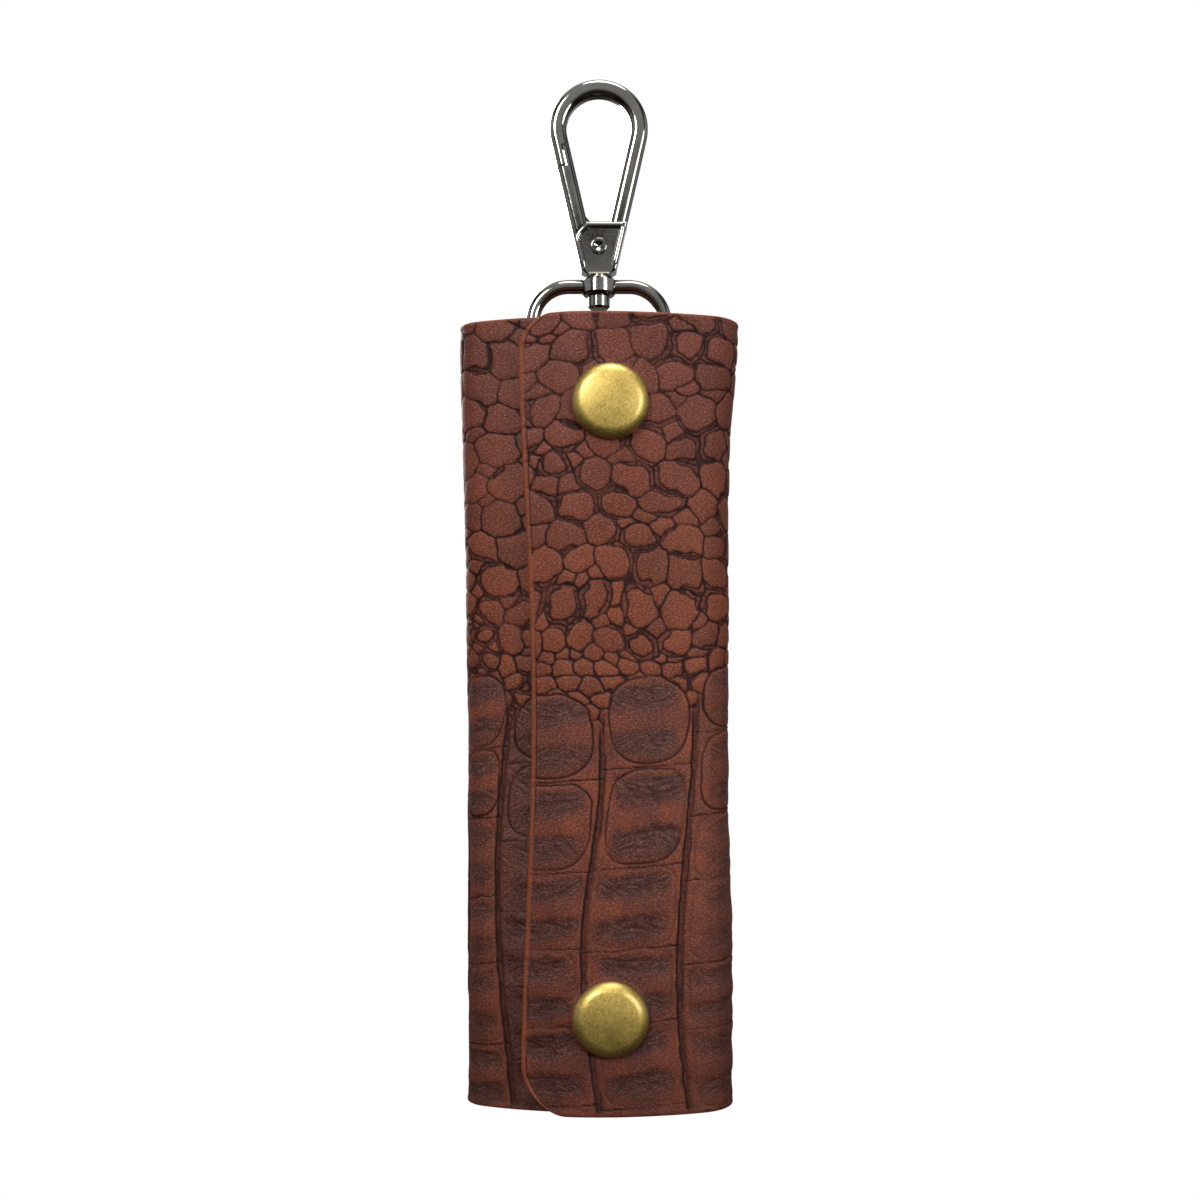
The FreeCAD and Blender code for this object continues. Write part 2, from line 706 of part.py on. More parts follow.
def inner_strap():
    """A strap folded round the loop's lower bar and, narrowed, round the key ring."""
    body = new_body("inner_strap")
    upper = new_sketch(body, "upper_fold", "YZ_Plane")
    draw_circle(upper, "0", f"-{LOOP_BAR}", STRAP_BACK)
    pad(body, upper, "strap_width", middle=True)
    web = new_sketch(body, "web", "YZ_Plane")
    front = f"{STRAP_BACK} - 2 * strap"
    draw(web, [
        (front, f"-{LOOP_BAR}"),
        (STRAP_BACK, f"-{LOOP_BAR}"),
        (STRAP_BACK, f"-{RING_EYE_DROP}"),
        (front, f"-{RING_EYE_DROP}"),
    ])
    pad(body, web, "strap_width", middle=True)
    lower = new_sketch(body, "lower_fold", "YZ_Plane")
    draw_circle(lower, RING_EYE_Y, f"-{RING_EYE_DROP}", "ring_eye + strap")
    pad(body, lower, "strap_width", middle=True)
    for name, y, drop, radius in (
        ("loop_eye", "0", LOOP_BAR, "wire_radius + eye_gap"),
        ("ring_eye", RING_EYE_Y, RING_EYE_DROP, "ring_eye"),
    ):
        eye = new_sketch(body, name, "YZ_Plane")
        draw_circle(eye, y, f"-{drop}", radius)
        cut(body, eye, "strap_width + 2", middle=True)
    for side in ("1", "-1"):
        flank = new_sketch(body, f"flank_{int(side) + 2}", "XZ_Plane")
        wide = f"{side} * strap_width / 2"
        beyond = f"{side} * (strap_width / 2 + 1)"
        tail = f"{side} * strap_tail / 2"
        lowest = f"-{RING_EYE_DROP} - ring_eye - strap - 1"
        draw(flank, [
            (wide, f"-{RIVET_DROPS['upper']}"),
            (tail, f"-{RIVET_DROPS['lower']} - 1"),
            (tail, lowest),
            (beyond, lowest),
            (beyond, f"-{RIVET_DROPS['upper']}"),
        ])
        cut(body, flank, "case_depth", middle=True)
    holes = new_sketch(body, "rivet_holes", "XZ_Plane")
    for drop in RIVET_DROPS.values():
        draw_circle(holes, "0", f"-{drop}", "rivet_shank + seat_gap")
    cut(body, holes, "case_depth", middle=True)
    return body


def place_on_axis(body, drop, y, facing):
    """Stands a turned piece on an axis along Y: facing -1 for the front, +1 for the back."""
    body.Placement = FreeCAD.Placement(FreeCAD.Vector(0, value(y), -value(drop)),
                                       FreeCAD.Rotation(0, 0, -90 * facing))
    body.setExpression("Placement.Base.y", bind(y))
    body.setExpression("Placement.Base.z", bind(f"-{drop}"))
    return body


def strap_rivet(level):
    """A double-cap rivet: a tubular post with an outer cap, and an inner cap on a solid pin."""
    stack = f"({BACK_OUTER} - {STRAP_BACK} + 2 * strap)"
    dome = dome_radius("rivet_head", "(rivet_dome - rivet_skirt)")
    post = turned_body(f"{level}_rivet_post", [
        ("0", "rivet_dome", dome, -1),
        ("rivet_head", "rivet_skirt"),
        ("rivet_head", "seat_gap"),
        ("rivet_shank", "seat_gap"),
        ("rivet_shank", f"-{stack}"),
        ("rivet_shank / 2 + seat_gap", f"-{stack}"),
        ("rivet_shank / 2 + seat_gap", "-0.6"),
        ("0", "-0.6"),
    ])
    place_on_axis(post, RIVET_DROPS[level], BACK_OUTER, 1)
    cap = turned_body(f"{level}_rivet_cap", [
        ("0", "rivet_dome", dome, -1),
        ("rivet_head", "rivet_skirt"),
        ("rivet_head", "seat_gap"),
        ("rivet_shank / 2", "seat_gap"),
        ("rivet_shank / 2", f"-{stack} + 0.9"),
        ("0", f"-{stack} + 0.9"),
    ])
    place_on_axis(cap, RIVET_DROPS[level], f"{STRAP_BACK} - 2 * strap", -1)


def place_on_snap(body, level):
    """Stands a turned piece on a snap's axis, with its zero height on the flap's outer face."""
    turn_angle = value(SNAP_TURN)
    body.Placement = FreeCAD.Placement(FreeCAD.Vector(0, 0, 0), FreeCAD.Rotation(turn_angle, 0, 90))
    body.setExpression("Placement.Base.x", bind("snap_offset"))
    body.setExpression("Placement.Base.y", bind(front_radius_point(FACE, "snap_offset")[1]))
    body.setExpression("Placement.Base.z", bind(f"-{SNAP_DROPS[level]}"))
    return body


SOCKET_TOP = "(leather - socket_dent)"
SOCKET_LOW = f"({SOCKET_TOP} + socket_height)"
STUD_SEAT = f"({LAYER} + stud_dent)"
STUD_PLATE_TOP = f"({STUD_SEAT} - stud_plate)"
STUD_TOP = f"({STUD_PLATE_TOP} - stud_height)"


def snap_cap(level):
    """A pressed cap whose shoulder runs on from its dome, on a tube riveted into the socket."""
    tube_end = f"-({SOCKET_TOP} + socket_plate)"
    flare = "rivet_tube + 0.5"
    ceiling = "cap_height - cap_crown - cap_wall"
    dome = dome_radius("cap_face", "cap_crown")
    fall = "(cap_height - cap_crown - cap_skirt)"
    reach = "(cap_radius - cap_face)"
    level_share = f"(1 - cap_crown / ({dome}))"
    shoulder = f"({fall}^2 + {reach}^2) / (2 * ({fall} * {level_share} - {reach} * cap_face / ({dome})))"
    place_on_snap(turned_body(f"{level}_snap_cap", [
        ("0", "cap_height", dome, -1),
        ("cap_face", "cap_height - cap_crown", shoulder, -1),
        ("cap_radius", "cap_skirt"),
        ("cap_radius - 0.1", "seat_gap"),
        ("cap_radius - cap_wall - 0.3", "seat_gap"),
        ("cap_radius - cap_wall - 0.3", "cap_skirt"),
        ("cap_face", ceiling),
        ("rivet_tube", ceiling),
        ("rivet_tube", tube_end),
        (flare, tube_end),
        (flare, f"{tube_end} - 0.2"),
        ("tube_bore", f"{tube_end} - 0.2"),
        ("tube_bore", "cap_height * 0.4"),
        ("0", "cap_height * 0.4"),
    ]), level)


def snap_socket(level):
    place_on_snap(turned_body(f"{level}_snap_socket", [
        ("rivet_tube", f"-{SOCKET_TOP}"),
        ("socket_radius", f"-{SOCKET_TOP}"),
        ("socket_radius", f"-{SOCKET_TOP} - 0.5"),
        ("socket_radius - 1.2", f"-{SOCKET_LOW} + 0.4"),
        ("socket_mouth + 0.8", f"-{SOCKET_LOW}"),
        ("socket_mouth", f"-{SOCKET_LOW}"),
        ("socket_mouth", f"-{SOCKET_LOW} + socket_lip"),
        ("socket_cavity", f"-{SOCKET_LOW} + socket_lip"),
        ("socket_cavity", f"-{SOCKET_TOP} - socket_plate"),
        ("rivet_tube", f"-{SOCKET_TOP} - socket_plate"),
    ]), level)


def socket_spring(level):
    """An open ring of wire that grips the stud under its head."""
    body = new_body(f"{level}_socket_spring")
    section = new_sketch(body, "section", "XZ_Plane")
    depth = f"({SOCKET_LOW} - socket_lip - catch_wire - seat_gap)"
    draw_circle(section, "stud_neck + catch_gap + catch_wire", f"-{depth}", "catch_wire")
    ring = turn(body, section)
    ring.setExpression("Angle", bind("catch_sweep"))
    doc.recompute()
    place_on_snap(body, level)


def snap_stud(level):
    place_on_snap(turned_body(f"{level}_snap_stud", [
        ("rivet_tube", f"-{STUD_SEAT}"),
        ("stud_radius", f"-{STUD_SEAT}"),
        ("stud_radius", f"-{STUD_PLATE_TOP}"),
        ("stud_neck", f"-{STUD_PLATE_TOP}"),
        ("stud_neck", f"-{STUD_PLATE_TOP} + stud_height * 0.62"),
        ("stud_head", f"-{STUD_PLATE_TOP} + stud_height * 0.74"),
        ("stud_neck", f"-{STUD_TOP}"),
        ("0", f"-{STUD_TOP}"),
        ("0", f"-{STUD_TOP} - stud_wall"),
        ("rivet_tube", f"-{STUD_TOP} - stud_wall"),
    ]), level)


def stud_eyelet(level):
    """A tube through the under panel, riveted into the stud from inside the case."""
    seat = f"({LAYER} + leather - eyelet_dent)"
    place_on_snap(turned_body(f"{level}_stud_eyelet", [
        ("tube_bore", f"-{STUD_TOP} - stud_wall - seat_gap"),
        ("rivet_tube", f"-{STUD_TOP} - stud_wall - seat_gap"),
        ("rivet_tube", f"-{seat}"),
        ("eyelet_radius", f"-{seat}"),
        ("eyelet_radius", f"-{seat} - eyelet_plate * 0.6"),
        ("eyelet_radius - 0.5", f"-{seat} - eyelet_plate"),
        ("tube_bore", f"-{seat} - eyelet_plate"),
    ]), level)


def key_ring():
    """Two turns of flat wire, hanging in the strap's lower fold."""
    body = new_body("key_ring")
    section = new_sketch(body, "section", "XZ_Plane")
    pitch = "(ring_wire + ring_gap)"
    low = f"-{pitch} - ring_wire / 2"
    draw(section, [
        ("ring_radius - ring_band", low),
        ("ring_radius", low),
        ("ring_radius", f"{low} + ring_wire"),
        ("ring_radius - ring_band", f"{low} + ring_wire"),
    ])
    coil = body.newObject("PartDesign::AdditiveHelix", "key_ring_coil")
    coil.Profile = section
    coil.ReferenceAxis = (section, ["V_Axis"])
    coil.Mode = "pitch-turns-angle"
    coil.setExpression("Pitch", bind(pitch))
    coil.Turns = 2.0
    doc.recompute()
    centre_drop = f"({RING_EYE_DROP} + ring_radius - ring_band / 2)"
    place = FreeCAD.Vector(0, value(RING_EYE_Y), -value(centre_drop))
    body.Placement = FreeCAD.Placement(place, FreeCAD.Rotation(0, 0, 90))
    body.setExpression("Placement.Base.y", bind(RING_EYE_Y))
    body.setExpression("Placement.Base.z", bind(f"-{centre_drop}"))
    return body


def write_parts():
    """Checks every object, then writes each sub-part to its own file."""
    doc.recompute()
    for thing in doc.Objects:
        failed = [state for state in thing.State if state in ("Invalid", "Error")]
        assert not failed, f"{thing.Label}: {failed}"
    bodies = [thing for thing in doc.Objects if thing.TypeId == "PartDesign::Body"]
    for body in bodies:
        assert not body.Shape.isNull() and body.Shape.isValid(), f"{body.Label} has no sound shape"
        assert len(body.Shape.Solids) == 1, f"{body.Label} has {len(body.Shape.Solids)} solids"
    os.makedirs("parts", exist_ok=True)
    for body in bodies:
        body.Shape.exportStep(f"parts/{body.Label}.step")
        box = body.Shape.BoundBox
        print(f"{body.Label}: {body.Shape.Volume:.1f} mm3, x {box.XMin:.2f} {box.XMax:.2f},"
              f" y {box.YMin:.2f} {box.YMax:.2f}, z {box.ZMin:.2f} {box.ZMax:.2f}")


hook_frame()
hook_gate()
gate_pin()
gate_spring()
swivel_post()
swivel_loop()
front_flap()
under_panel()
back_panel()
inner_strap()
for level in ("upper", "lower"):
    strap_rivet(level)
    snap_cap(level)
    snap_socket(level)
    socket_spring(level)
    snap_stud(level)
    stud_eyelet(level)
key_ring()
write_parts()
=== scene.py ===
# %% [markdown]
# # A key case in embossed leather
# The case hangs from a swivel trigger hook and wraps round its keys like an oval tube.
# The frame of solids is already there, in metres. This scene gives the metal its finishes, and makes
# the leather anew as meshes with their scales, because leather is soft and bends where the solids hinge.

# %% Load the frame
import json
import math
from collections import namedtuple
from types import SimpleNamespace
import bpy
import numpy as np
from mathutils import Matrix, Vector


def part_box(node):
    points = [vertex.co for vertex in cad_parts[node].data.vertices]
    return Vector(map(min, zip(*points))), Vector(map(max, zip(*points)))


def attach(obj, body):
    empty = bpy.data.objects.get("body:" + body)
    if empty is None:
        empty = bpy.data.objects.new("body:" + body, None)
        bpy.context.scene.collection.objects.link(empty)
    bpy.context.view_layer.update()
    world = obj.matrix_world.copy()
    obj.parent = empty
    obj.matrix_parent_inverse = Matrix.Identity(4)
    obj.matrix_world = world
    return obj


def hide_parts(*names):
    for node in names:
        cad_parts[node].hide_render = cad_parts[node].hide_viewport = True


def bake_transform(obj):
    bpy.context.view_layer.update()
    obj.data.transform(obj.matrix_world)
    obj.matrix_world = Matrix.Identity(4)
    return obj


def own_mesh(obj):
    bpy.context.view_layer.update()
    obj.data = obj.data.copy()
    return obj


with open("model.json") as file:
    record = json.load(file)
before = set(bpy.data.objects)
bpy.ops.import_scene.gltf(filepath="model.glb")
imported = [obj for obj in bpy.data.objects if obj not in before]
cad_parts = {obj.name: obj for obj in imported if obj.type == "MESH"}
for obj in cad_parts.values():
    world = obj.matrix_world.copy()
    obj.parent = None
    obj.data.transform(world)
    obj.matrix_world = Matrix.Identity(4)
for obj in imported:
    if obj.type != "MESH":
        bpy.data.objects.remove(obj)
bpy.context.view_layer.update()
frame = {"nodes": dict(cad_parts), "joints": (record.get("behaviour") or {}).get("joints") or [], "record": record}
MM = 0.001

# %% [markdown]
# ## The wrap's cross-section
# Seen from above, the wrap is a chain of arcs: flap, right side, back, left side and under layer. It could
# be a curve object with handles. Arcs are used because they meet without a kink, so one angle tells both
# where a point is and which way its surface faces.
# The angle of the flap's middle is -90 degrees, and it grows to the right and round the back.

# %% The chain of arcs
panel_low, panel_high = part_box("back_panel")
TOP = panel_high.z / MM
LENGTH = (panel_high.z - panel_low.z) / MM
BACK_Y = panel_high.y / MM
LEATHER, LAYER_GAP = 1.9, 1.3
LAYER = LEATHER + LAYER_GAP
DEPTH, REACH = 22.0, 22.14
RIGHT_RADIUS, LEFT_RADIUS = 8.4, 5.6
FACE_RADIUS = (DEPTH ** 2 / 4 + REACH * (REACH - 2 * RIGHT_RADIUS)) / (DEPTH - 2 * RIGHT_RADIUS)
SHIFT = FACE_RADIUS - DEPTH / 2
MIDDLE_Y = BACK_Y - DEPTH / 2
left_up = LAYER * (2 * FACE_RADIUS - LAYER - 2 * LEFT_RADIUS) / (4 * SHIFT)
left_x = -math.sqrt((FACE_RADIUS - LEFT_RADIUS) ** 2 - (left_up + SHIFT) ** 2)
FRONT_CENTRE = np.array([0.0, MIDDLE_Y + SHIFT])
BACK_CENTRE = np.array([0.0, MIDDLE_Y - SHIFT])
RIGHT_CENTRE = np.array([REACH - RIGHT_RADIUS, MIDDLE_Y])
LEFT_CENTRE = np.array([left_x, MIDDLE_Y + left_up])
FLAP_FROM, UNDER_TO = math.radians(-112), math.radians(290)


def facing(centre, towards):
    """The angle of the direction from one point to another."""
    return math.atan2(towards[1] - centre[1], towards[0] - centre[0])


turn_right = facing(FRONT_CENTRE, RIGHT_CENTRE)
turn_back = facing(BACK_CENTRE, RIGHT_CENTRE)
turn_left = facing(BACK_CENTRE, LEFT_CENTRE)
turn_under = facing(FRONT_CENTRE, LEFT_CENTRE) + 2 * math.pi
FLAP_ARC, RIGHT_ARC, BACK_ARC, LEFT_ARC, UNDER_ARC = range(5)
ARCS = [
    (FRONT_CENTRE, FACE_RADIUS, FLAP_FROM, turn_right),
    (RIGHT_CENTRE, RIGHT_RADIUS, turn_right, turn_back),
    (BACK_CENTRE, FACE_RADIUS, turn_back, turn_left),
    (LEFT_CENTRE, LEFT_RADIUS, turn_left, turn_under),
    (FRONT_CENTRE, FACE_RADIUS - LAYER, turn_under, UNDER_TO),
]
arc_lengths = [(end - start) * radius for _, radius, start, end in ARCS]
flap_middle = (math.radians(-90) - FLAP_FROM) * FACE_RADIUS
STARTS = np.concatenate([[0.0], np.cumsum(arc_lengths)]) - flap_middle
print("arcs begin at, in mm round the wrap:", np.round(STARTS, 1))

# %% [markdown]
# A place on the sheet has two numbers: how far round the wrap it is from the flap's middle, and how far it
# is below the top edge. The next functions turn those, and a height above the outer face, into a point.
# A Simple Deform modifier could bend a flat sheet as well, but it knows one radius only.
# Worn leather flares at its ends, so the sides spread a little at the top, and on the right at the foot.

# %% From sheet to space
SIDE_FROM, SIDE_FULL = 8.0, 20.0
RIGHT_TOP_FLARE, RIGHT_TOP_FADE = 1.7, 15.0
RIGHT_FOOT_FLARE, FOOT_FROM, FOOT_FULL = 0.75, 80.0, 105.0
LEFT_TOP_FLARE, LEFT_TOP_FADE, LEFT_FLARE = 1.25, 34.0, 0.25


def smooth(low, high, value):
    """Zero below low, one above high, and a soft step between."""
    share = np.clip((value - low) / (high - low), 0, 1)
    return share * share * (3 - 2 * share)


def angle_at(around):
    """The angle that the surface faces at places round the wrap."""
    angle = np.zeros_like(around)
    for number, (_, radius, start, _) in enumerate(ARCS):
        inside = around >= STARTS[number]
        angle = np.where(inside, start + (around - STARTS[number]) / radius, angle)
    return angle


def around_at(arc, x):
    """How far round the wrap a point of the front's two arcs is, from its x."""
    _, radius, start, _ = ARCS[arc]
    front = -90 if arc == FLAP_ARC else 270
    return STARTS[arc] + (math.radians(front) + math.asin(x / radius) - start) * radius


def place(around, below, height):
    """Points in space, in millimetres, for places on the sheet."""
    angle = angle_at(around)
    x = np.zeros_like(angle)
    y = np.zeros_like(angle)
    for number, (centre, radius, _, _) in enumerate(ARCS):
        inside = around >= STARTS[number]
        x = np.where(inside, centre[0] + (radius + height) * np.cos(angle), x)
        y = np.where(inside, centre[1] + (radius + height) * np.sin(angle), y)
    sides = smooth(SIDE_FROM, SIDE_FULL, np.abs(x)) * np.sign(x)
    right_top = RIGHT_TOP_FLARE * np.exp(-(below / RIGHT_TOP_FADE) ** 2)
    right_flare = right_top + RIGHT_FOOT_FLARE * smooth(FOOT_FROM, FOOT_FULL, below)
    left_flare = LEFT_TOP_FLARE * np.exp(-(below / LEFT_TOP_FADE) ** 2) + LEFT_FLARE
    x = x + sides * np.where(x > 0, right_flare, left_flare)
    return np.stack([x, y, TOP - below], axis=-1)


half_way = place(np.array(0.0), np.array(LENGTH / 2), np.array(0.0))
print("middle of the flap, half way down:", np.round(half_way, 2))

# %% [markdown]
# ## The embossing, as a field
# The leather is pressed with a reptile pattern: small round scales near the top, with tiny ones in the
# gaps, and big plates in columns lower down, with deep lines between. Sculpting it by hand, or a
# displacement texture, could give the same. Here it is worked out as a field on a fine grid over the whole
# sheet, because shape and colour can then read the same values: how high the leather stands, how deep in a
# groove a place is, and how worn or burnished it is.

# %% The grid and its noise
PITCH = 0.13
PATTERN_SEED = 23
GRID_FROM, GRID_OVER, GRID_RIM = -17.0, 2.0, 1.0
rng = np.random.default_rng(PATTERN_SEED)
around_axis = np.arange(GRID_FROM, STARTS[-1] + GRID_OVER, PITCH)
below_axis = np.arange(-GRID_RIM, LENGTH + GRID_RIM, PITCH)
AROUND, BELOW = np.meshgrid(around_axis, below_axis, indexing="ij")


def mix_corners(grid, i, j, u, v):
    """A grid's values between its points, from whole steps i and j and the shares u and v of the next."""
    near = grid[i, j] * (1 - u) + grid[i + 1, j] * u
    far = grid[i, j + 1] * (1 - u) + grid[i + 1, j + 1] * u
    return near * (1 - v) + far * v


def wobble(size, seed, stretch=1.0, bent=0.0):
    """Soft random values from -1 to 1 over the grid, with features of a given size in millimetres."""
    local = np.random.default_rng(seed)
    columns = (AROUND - AROUND.min()) / (size * stretch)
    rows = (BELOW + bent - (BELOW + bent).min()) / size
    knots = local.uniform(-1, 1, (int(columns.max()) + 3, int(rows.max()) + 3))
    i, j = columns.astype(int), rows.astype(int)
    u, v = columns - i, rows - j
    return mix_corners(knots, i, j, u * u * (3 - 2 * u), v * v * (3 - 2 * v))


print("grid:", AROUND.shape)

# %% [markdown]
# Small scales grow from seeds set in loose rows, and get smaller just above the plates. Darts thrown
# afterwards fill the gaps with tiny scales, as on a real hide. A Voronoi texture gives cells too, but its
# cells are all of a size and can't be placed in rows.

# %% Seeds of the scales
SCALE_WIDE, SCALE_HIGH, SCALES_END = 6.5, 5.3, 72.0
LONG = SCALE_WIDE / SCALE_HIGH
FIRST_ROW, ROW_SHAKE = 0.6, 1.0
SCALE_RADII, SCALE_STEPS = (2.1, 3.0), (0.84, 1.2)
SHRINK, SHRINK_FROM, SHRINK_FULL = 0.42, 49, 58
DARTS = 6000
DART_ROOM, DART_EASE, EASE_FROM, EASE_FULL = 0.72, 0.3, 44, 54
DART_GROWTH, DART_MOST = 1.15, 1.1


def scatter_scales():
    """Seeds as place round the wrap, place below the top, and radius."""
    seeds = []
    below = FIRST_ROW
    while below < SCALES_END:
        shrink = 1 - SHRINK * float(smooth(SHRINK_FROM, SHRINK_FULL, below))
        around = around_axis[0] - rng.uniform(0, SCALE_WIDE)
        while around < around_axis[-1] + SCALE_WIDE:
            shake = shrink * rng.uniform(-ROW_SHAKE, ROW_SHAKE)
            seeds.append((around, below + shake, shrink * rng.uniform(*SCALE_RADII)))
            around += shrink * SCALE_WIDE * rng.uniform(*SCALE_STEPS)
        below += shrink * SCALE_HIGH
    return seeds


def throw_darts(seeds):
    """Tiny scales in the gaps that the others leave."""
    grown = np.array(seeds)
    for _ in range(DARTS):
        around = rng.uniform(around_axis[0], around_axis[-1])
        below = rng.uniform(-GRID_RIM, SCALES_END)
        away = np.hypot((grown[:, 0] - around) / LONG, grown[:, 1] - below)
        room = (away - grown[:, 2]).min()
        if room > DART_ROOM - DART_EASE * float(smooth(EASE_FROM, EASE_FULL, below)):
            grown = np.vstack([grown, [around, below, min(DART_GROWTH * room, DART_MOST)]])
    return grown


seeds = throw_darts(scatter_scales())
print("scales:", len(seeds))

# %% [markdown]
# A place belongs to the seed that is nearest for its size, so every scale is a polygon, and the border
# between two scales is a groove. The distance to the border is worked out twice: with sharp corners for the
# line itself, and with rounded ones, because pressed scales have round corners.

# %% Borders of the scales
CORNER, FAR = 0.3, 9.0
REACH_AROUND, REACH_BELOW = 9.0, 7.5
LARGE, TINY, LEAST_APART = 1e3, 1e-6, 0.1
CORNER_OUT = 0.1


def power_near(seed, warped):
    """A seed's window of the grid, and how far each place there is outside the seed's circle, squared."""
    around, below, radius = seed
    i = slice(*np.searchsorted(around_axis, (around - REACH_AROUND, around + REACH_AROUND)))
    j = slice(*np.searchsorted(below_axis, (below - REACH_BELOW, below + REACH_BELOW)))
    u, v = warped[0][i, j], warped[1][i, j]
    return (i, j), ((u - around) / LONG) ** 2 + (v - below) ** 2 - radius ** 2


def find_owners(seeds, warped):
    """For each place of the grid: the number of its seed, and how far it is outside that seed's circle."""
    best = np.full(AROUND.shape, LARGE)
    owner = np.zeros(AROUND.shape, int)
    for number, seed in enumerate(seeds):
        window, power = power_near(seed, warped)
        closer = power < best[window]
        best[window] = np.where(closer, power, best[window])
        owner[window] = np.where(closer, number, owner[window])
    return owner, best


def find_borders(seeds, warped, owner, best):
    """How far each place is from its scale's border, with rounded corners and with sharp ones."""
    crowd = np.full(AROUND.shape, TINY)
    nearest = np.full(AROUND.shape, FAR)
    for number, seed in enumerate(seeds):
        window, power = power_near(seed, warped)
        others = seeds[owner[window]]
        apart = np.hypot((others[..., 0] - seed[0]) / LONG, others[..., 1] - seed[1])
        gap = np.minimum((power - best[window]) / (2 * np.maximum(apart, LEAST_APART)), FAR)
        gap = np.where(owner[window] == number, FAR, gap)
        crowd[window] += np.exp(-gap / CORNER)
        nearest[window] = np.minimum(nearest[window], gap)
    return -CORNER * np.log(crowd) + CORNER_OUT, nearest


warped_around = AROUND + 1.1 * wobble(11, 1) + 0.34 * wobble(1.7, 2) + 0.1 * wobble(0.6, 9)
warped_below = BELOW + 1.9 * wobble(14, 3) + 0.3 * wobble(1.5, 4) + 0.1 * wobble(0.6, 10)
owner, best = find_owners(seeds, (warped_around, warped_below))
inside_by, to_border = find_borders(seeds, (warped_around, warped_below), owner, best)
scale_tone = rng.uniform(0, 1, len(seeds))[owner]
print("grid places on the widest scale:", np.bincount(owner.ravel()).max())

# %% [markdown]
# The border between two scales is a thin dark line. Where three scales meet, their rounded corners leave a
# small hollow. In some places the scales stand back from the line, and the leather in between is wrinkled:
# there, lines follow the places where a random field changes sign.

# %% Lines and gaps between scales
BORDER_LINE, RIM_LINE, CORNER_LINE = 0.12, 0.11, 0.1
LINE_DEEP, GAP_DEEP, SHOULDER_DEEP = 0.15, 0.09, 0.07
MOST_SLACK = 0.7


def line(distance, width):
    """One on a line and zero away from it."""
    return np.exp(-(distance / width) ** 2)


own_radius = seeds[:, 2][owner]
slack = MOST_SLACK * smooth(-0.3, 0.6, wobble(4.0, 8)) * smooth(0.6, 2.2, own_radius)
from_rim = inside_by - slack
stands_back = smooth(0.12, 0.35, slack)
in_gap = (1 - smooth(-0.05, 0.2, from_rim)) * stands_back
corner = 1 - smooth(-0.05, 0.15, inside_by)
loose = np.maximum(in_gap, corner)
flank = 1 - smooth(0.0, 0.6, from_rim)
cracks = np.maximum(line(wobble(1.2, 21, 1.7), 0.14), line(wobble(1.6, 22, 0.7), 0.1))
fade = smooth(-0.7, 0.4, wobble(6.0, 31))
scale_line = np.max([
    line(to_border, BORDER_LINE) * (0.65 + 0.35 * fade),
    0.8 * line(from_rim, RIM_LINE) * stands_back,
    0.5 * line(inside_by - 0.05, CORNER_LINE) * smooth(0.05, 0.25, to_border),
    0.6 * cracks * loose,
], axis=0)
scale_groove = np.maximum(scale_line, 0.12 * loose + 0.08 * flank)
shoulder = 1 - smooth(0.0, 1.2, from_rim)
scale_height = -GAP_DEEP * loose - LINE_DEEP * scale_line - SHOULDER_DEEP * shoulder
print("share of the sheet on a line:", round(float((scale_line > 0.5).mean()), 3))

# %% [markdown]
# Plates stand in columns. A column lies between two wavering lines, and creases cut it into plates. The
# lines could be drawn as curves. A cosine for each is enough, because they waver only a little.

# %% Columns and creases
FIRST_CREASE, CREASE_STAGGER, CREASE_STEP, CREASE_SHAKE, CREASES = 57, 2.5, 12.3, 0.8, 8


def wave(middle, swing, crest, period):
    """A line down the sheet that wavers about a place."""
    return middle + swing * np.cos(2 * np.pi * (BELOW - crest) / period)


under_line = around_at(UNDER_ARC, -15.0)
WAVES = [(-17.2, 0.5, 80, 60), (-0.9, 1.6, 74, 66), (15.0, 1.6, 66, 86)]
WAVES += [(32.5 + 16.3 * number, 0.9, 60 + 13 * number, 75) for number in range(4)]
WAVES += [(under_line, -2.0, 95, 110), (under_line + 14.5, 1.0, 90, 80), (under_line + 30, 0.5, 80, 80)]
LINES = [wave(*each) for each in WAVES]
COLUMNS = len(LINES) - 1
FRONT_CREASES = {
    0: (62.5, 77.2, 92.3, 104.9, 117.7, 130.5, 143.0),
    1: (59.5, 74.6, 91.1, 104.6, 116.7, 130.5, 143.0),
}


def creases_of(column):
    """Where a column's plates begin and end, below the top edge."""
    if column in FRONT_CREASES:
        return FRONT_CREASES[column]
    first = FIRST_CREASE + CREASE_STAGGER * ((column * 7 + 1) % 3)
    steps = range(CREASES)
    return tuple(first + CREASE_STEP * step + CREASE_SHAKE * math.sin(3 * step + column) for step in steps)


print("columns of plates:", COLUMNS)

# %% [markdown]
# A plate is a rounded oblong, rounder in the first row than in the later ones. Lines run round it: a broad
# valley with a thin seam at the sides of its column, a crease where it meets the plate above, and its own
# outline. Two hollows lie across it, where the dye is darkest and the leather wrinkles.

# %% Parts of a plate
SQUARENESS = (2.5, 3.2, 5.0)
OUTLINES = (0.95, 0.8, 0.3)
PLATE_WIDE, PLATE_HIGH = 0.84, 0.47
OUTLINE_WIDE, CREASE_WIDE, VALLEY_WIDE = 0.17, 0.16, 0.55
RIGHT_SEAM_IN, RIGHT_SEAM_WIDE, LEFT_SEAM_IN, LEFT_SEAM_WIDE = 0.5, 0.16, 0.4, 0.12
CALMER = {2: 0.6, 6: 0.75}
HOLLOW_LEAN, HOLLOW_ASIDE, HOLLOW_SHARES = 0.04, 0.15, (0.7, 1.0)
ragged = 0.5 * wobble(2.2, 5) + 0.3 * wobble(0.8, 6)


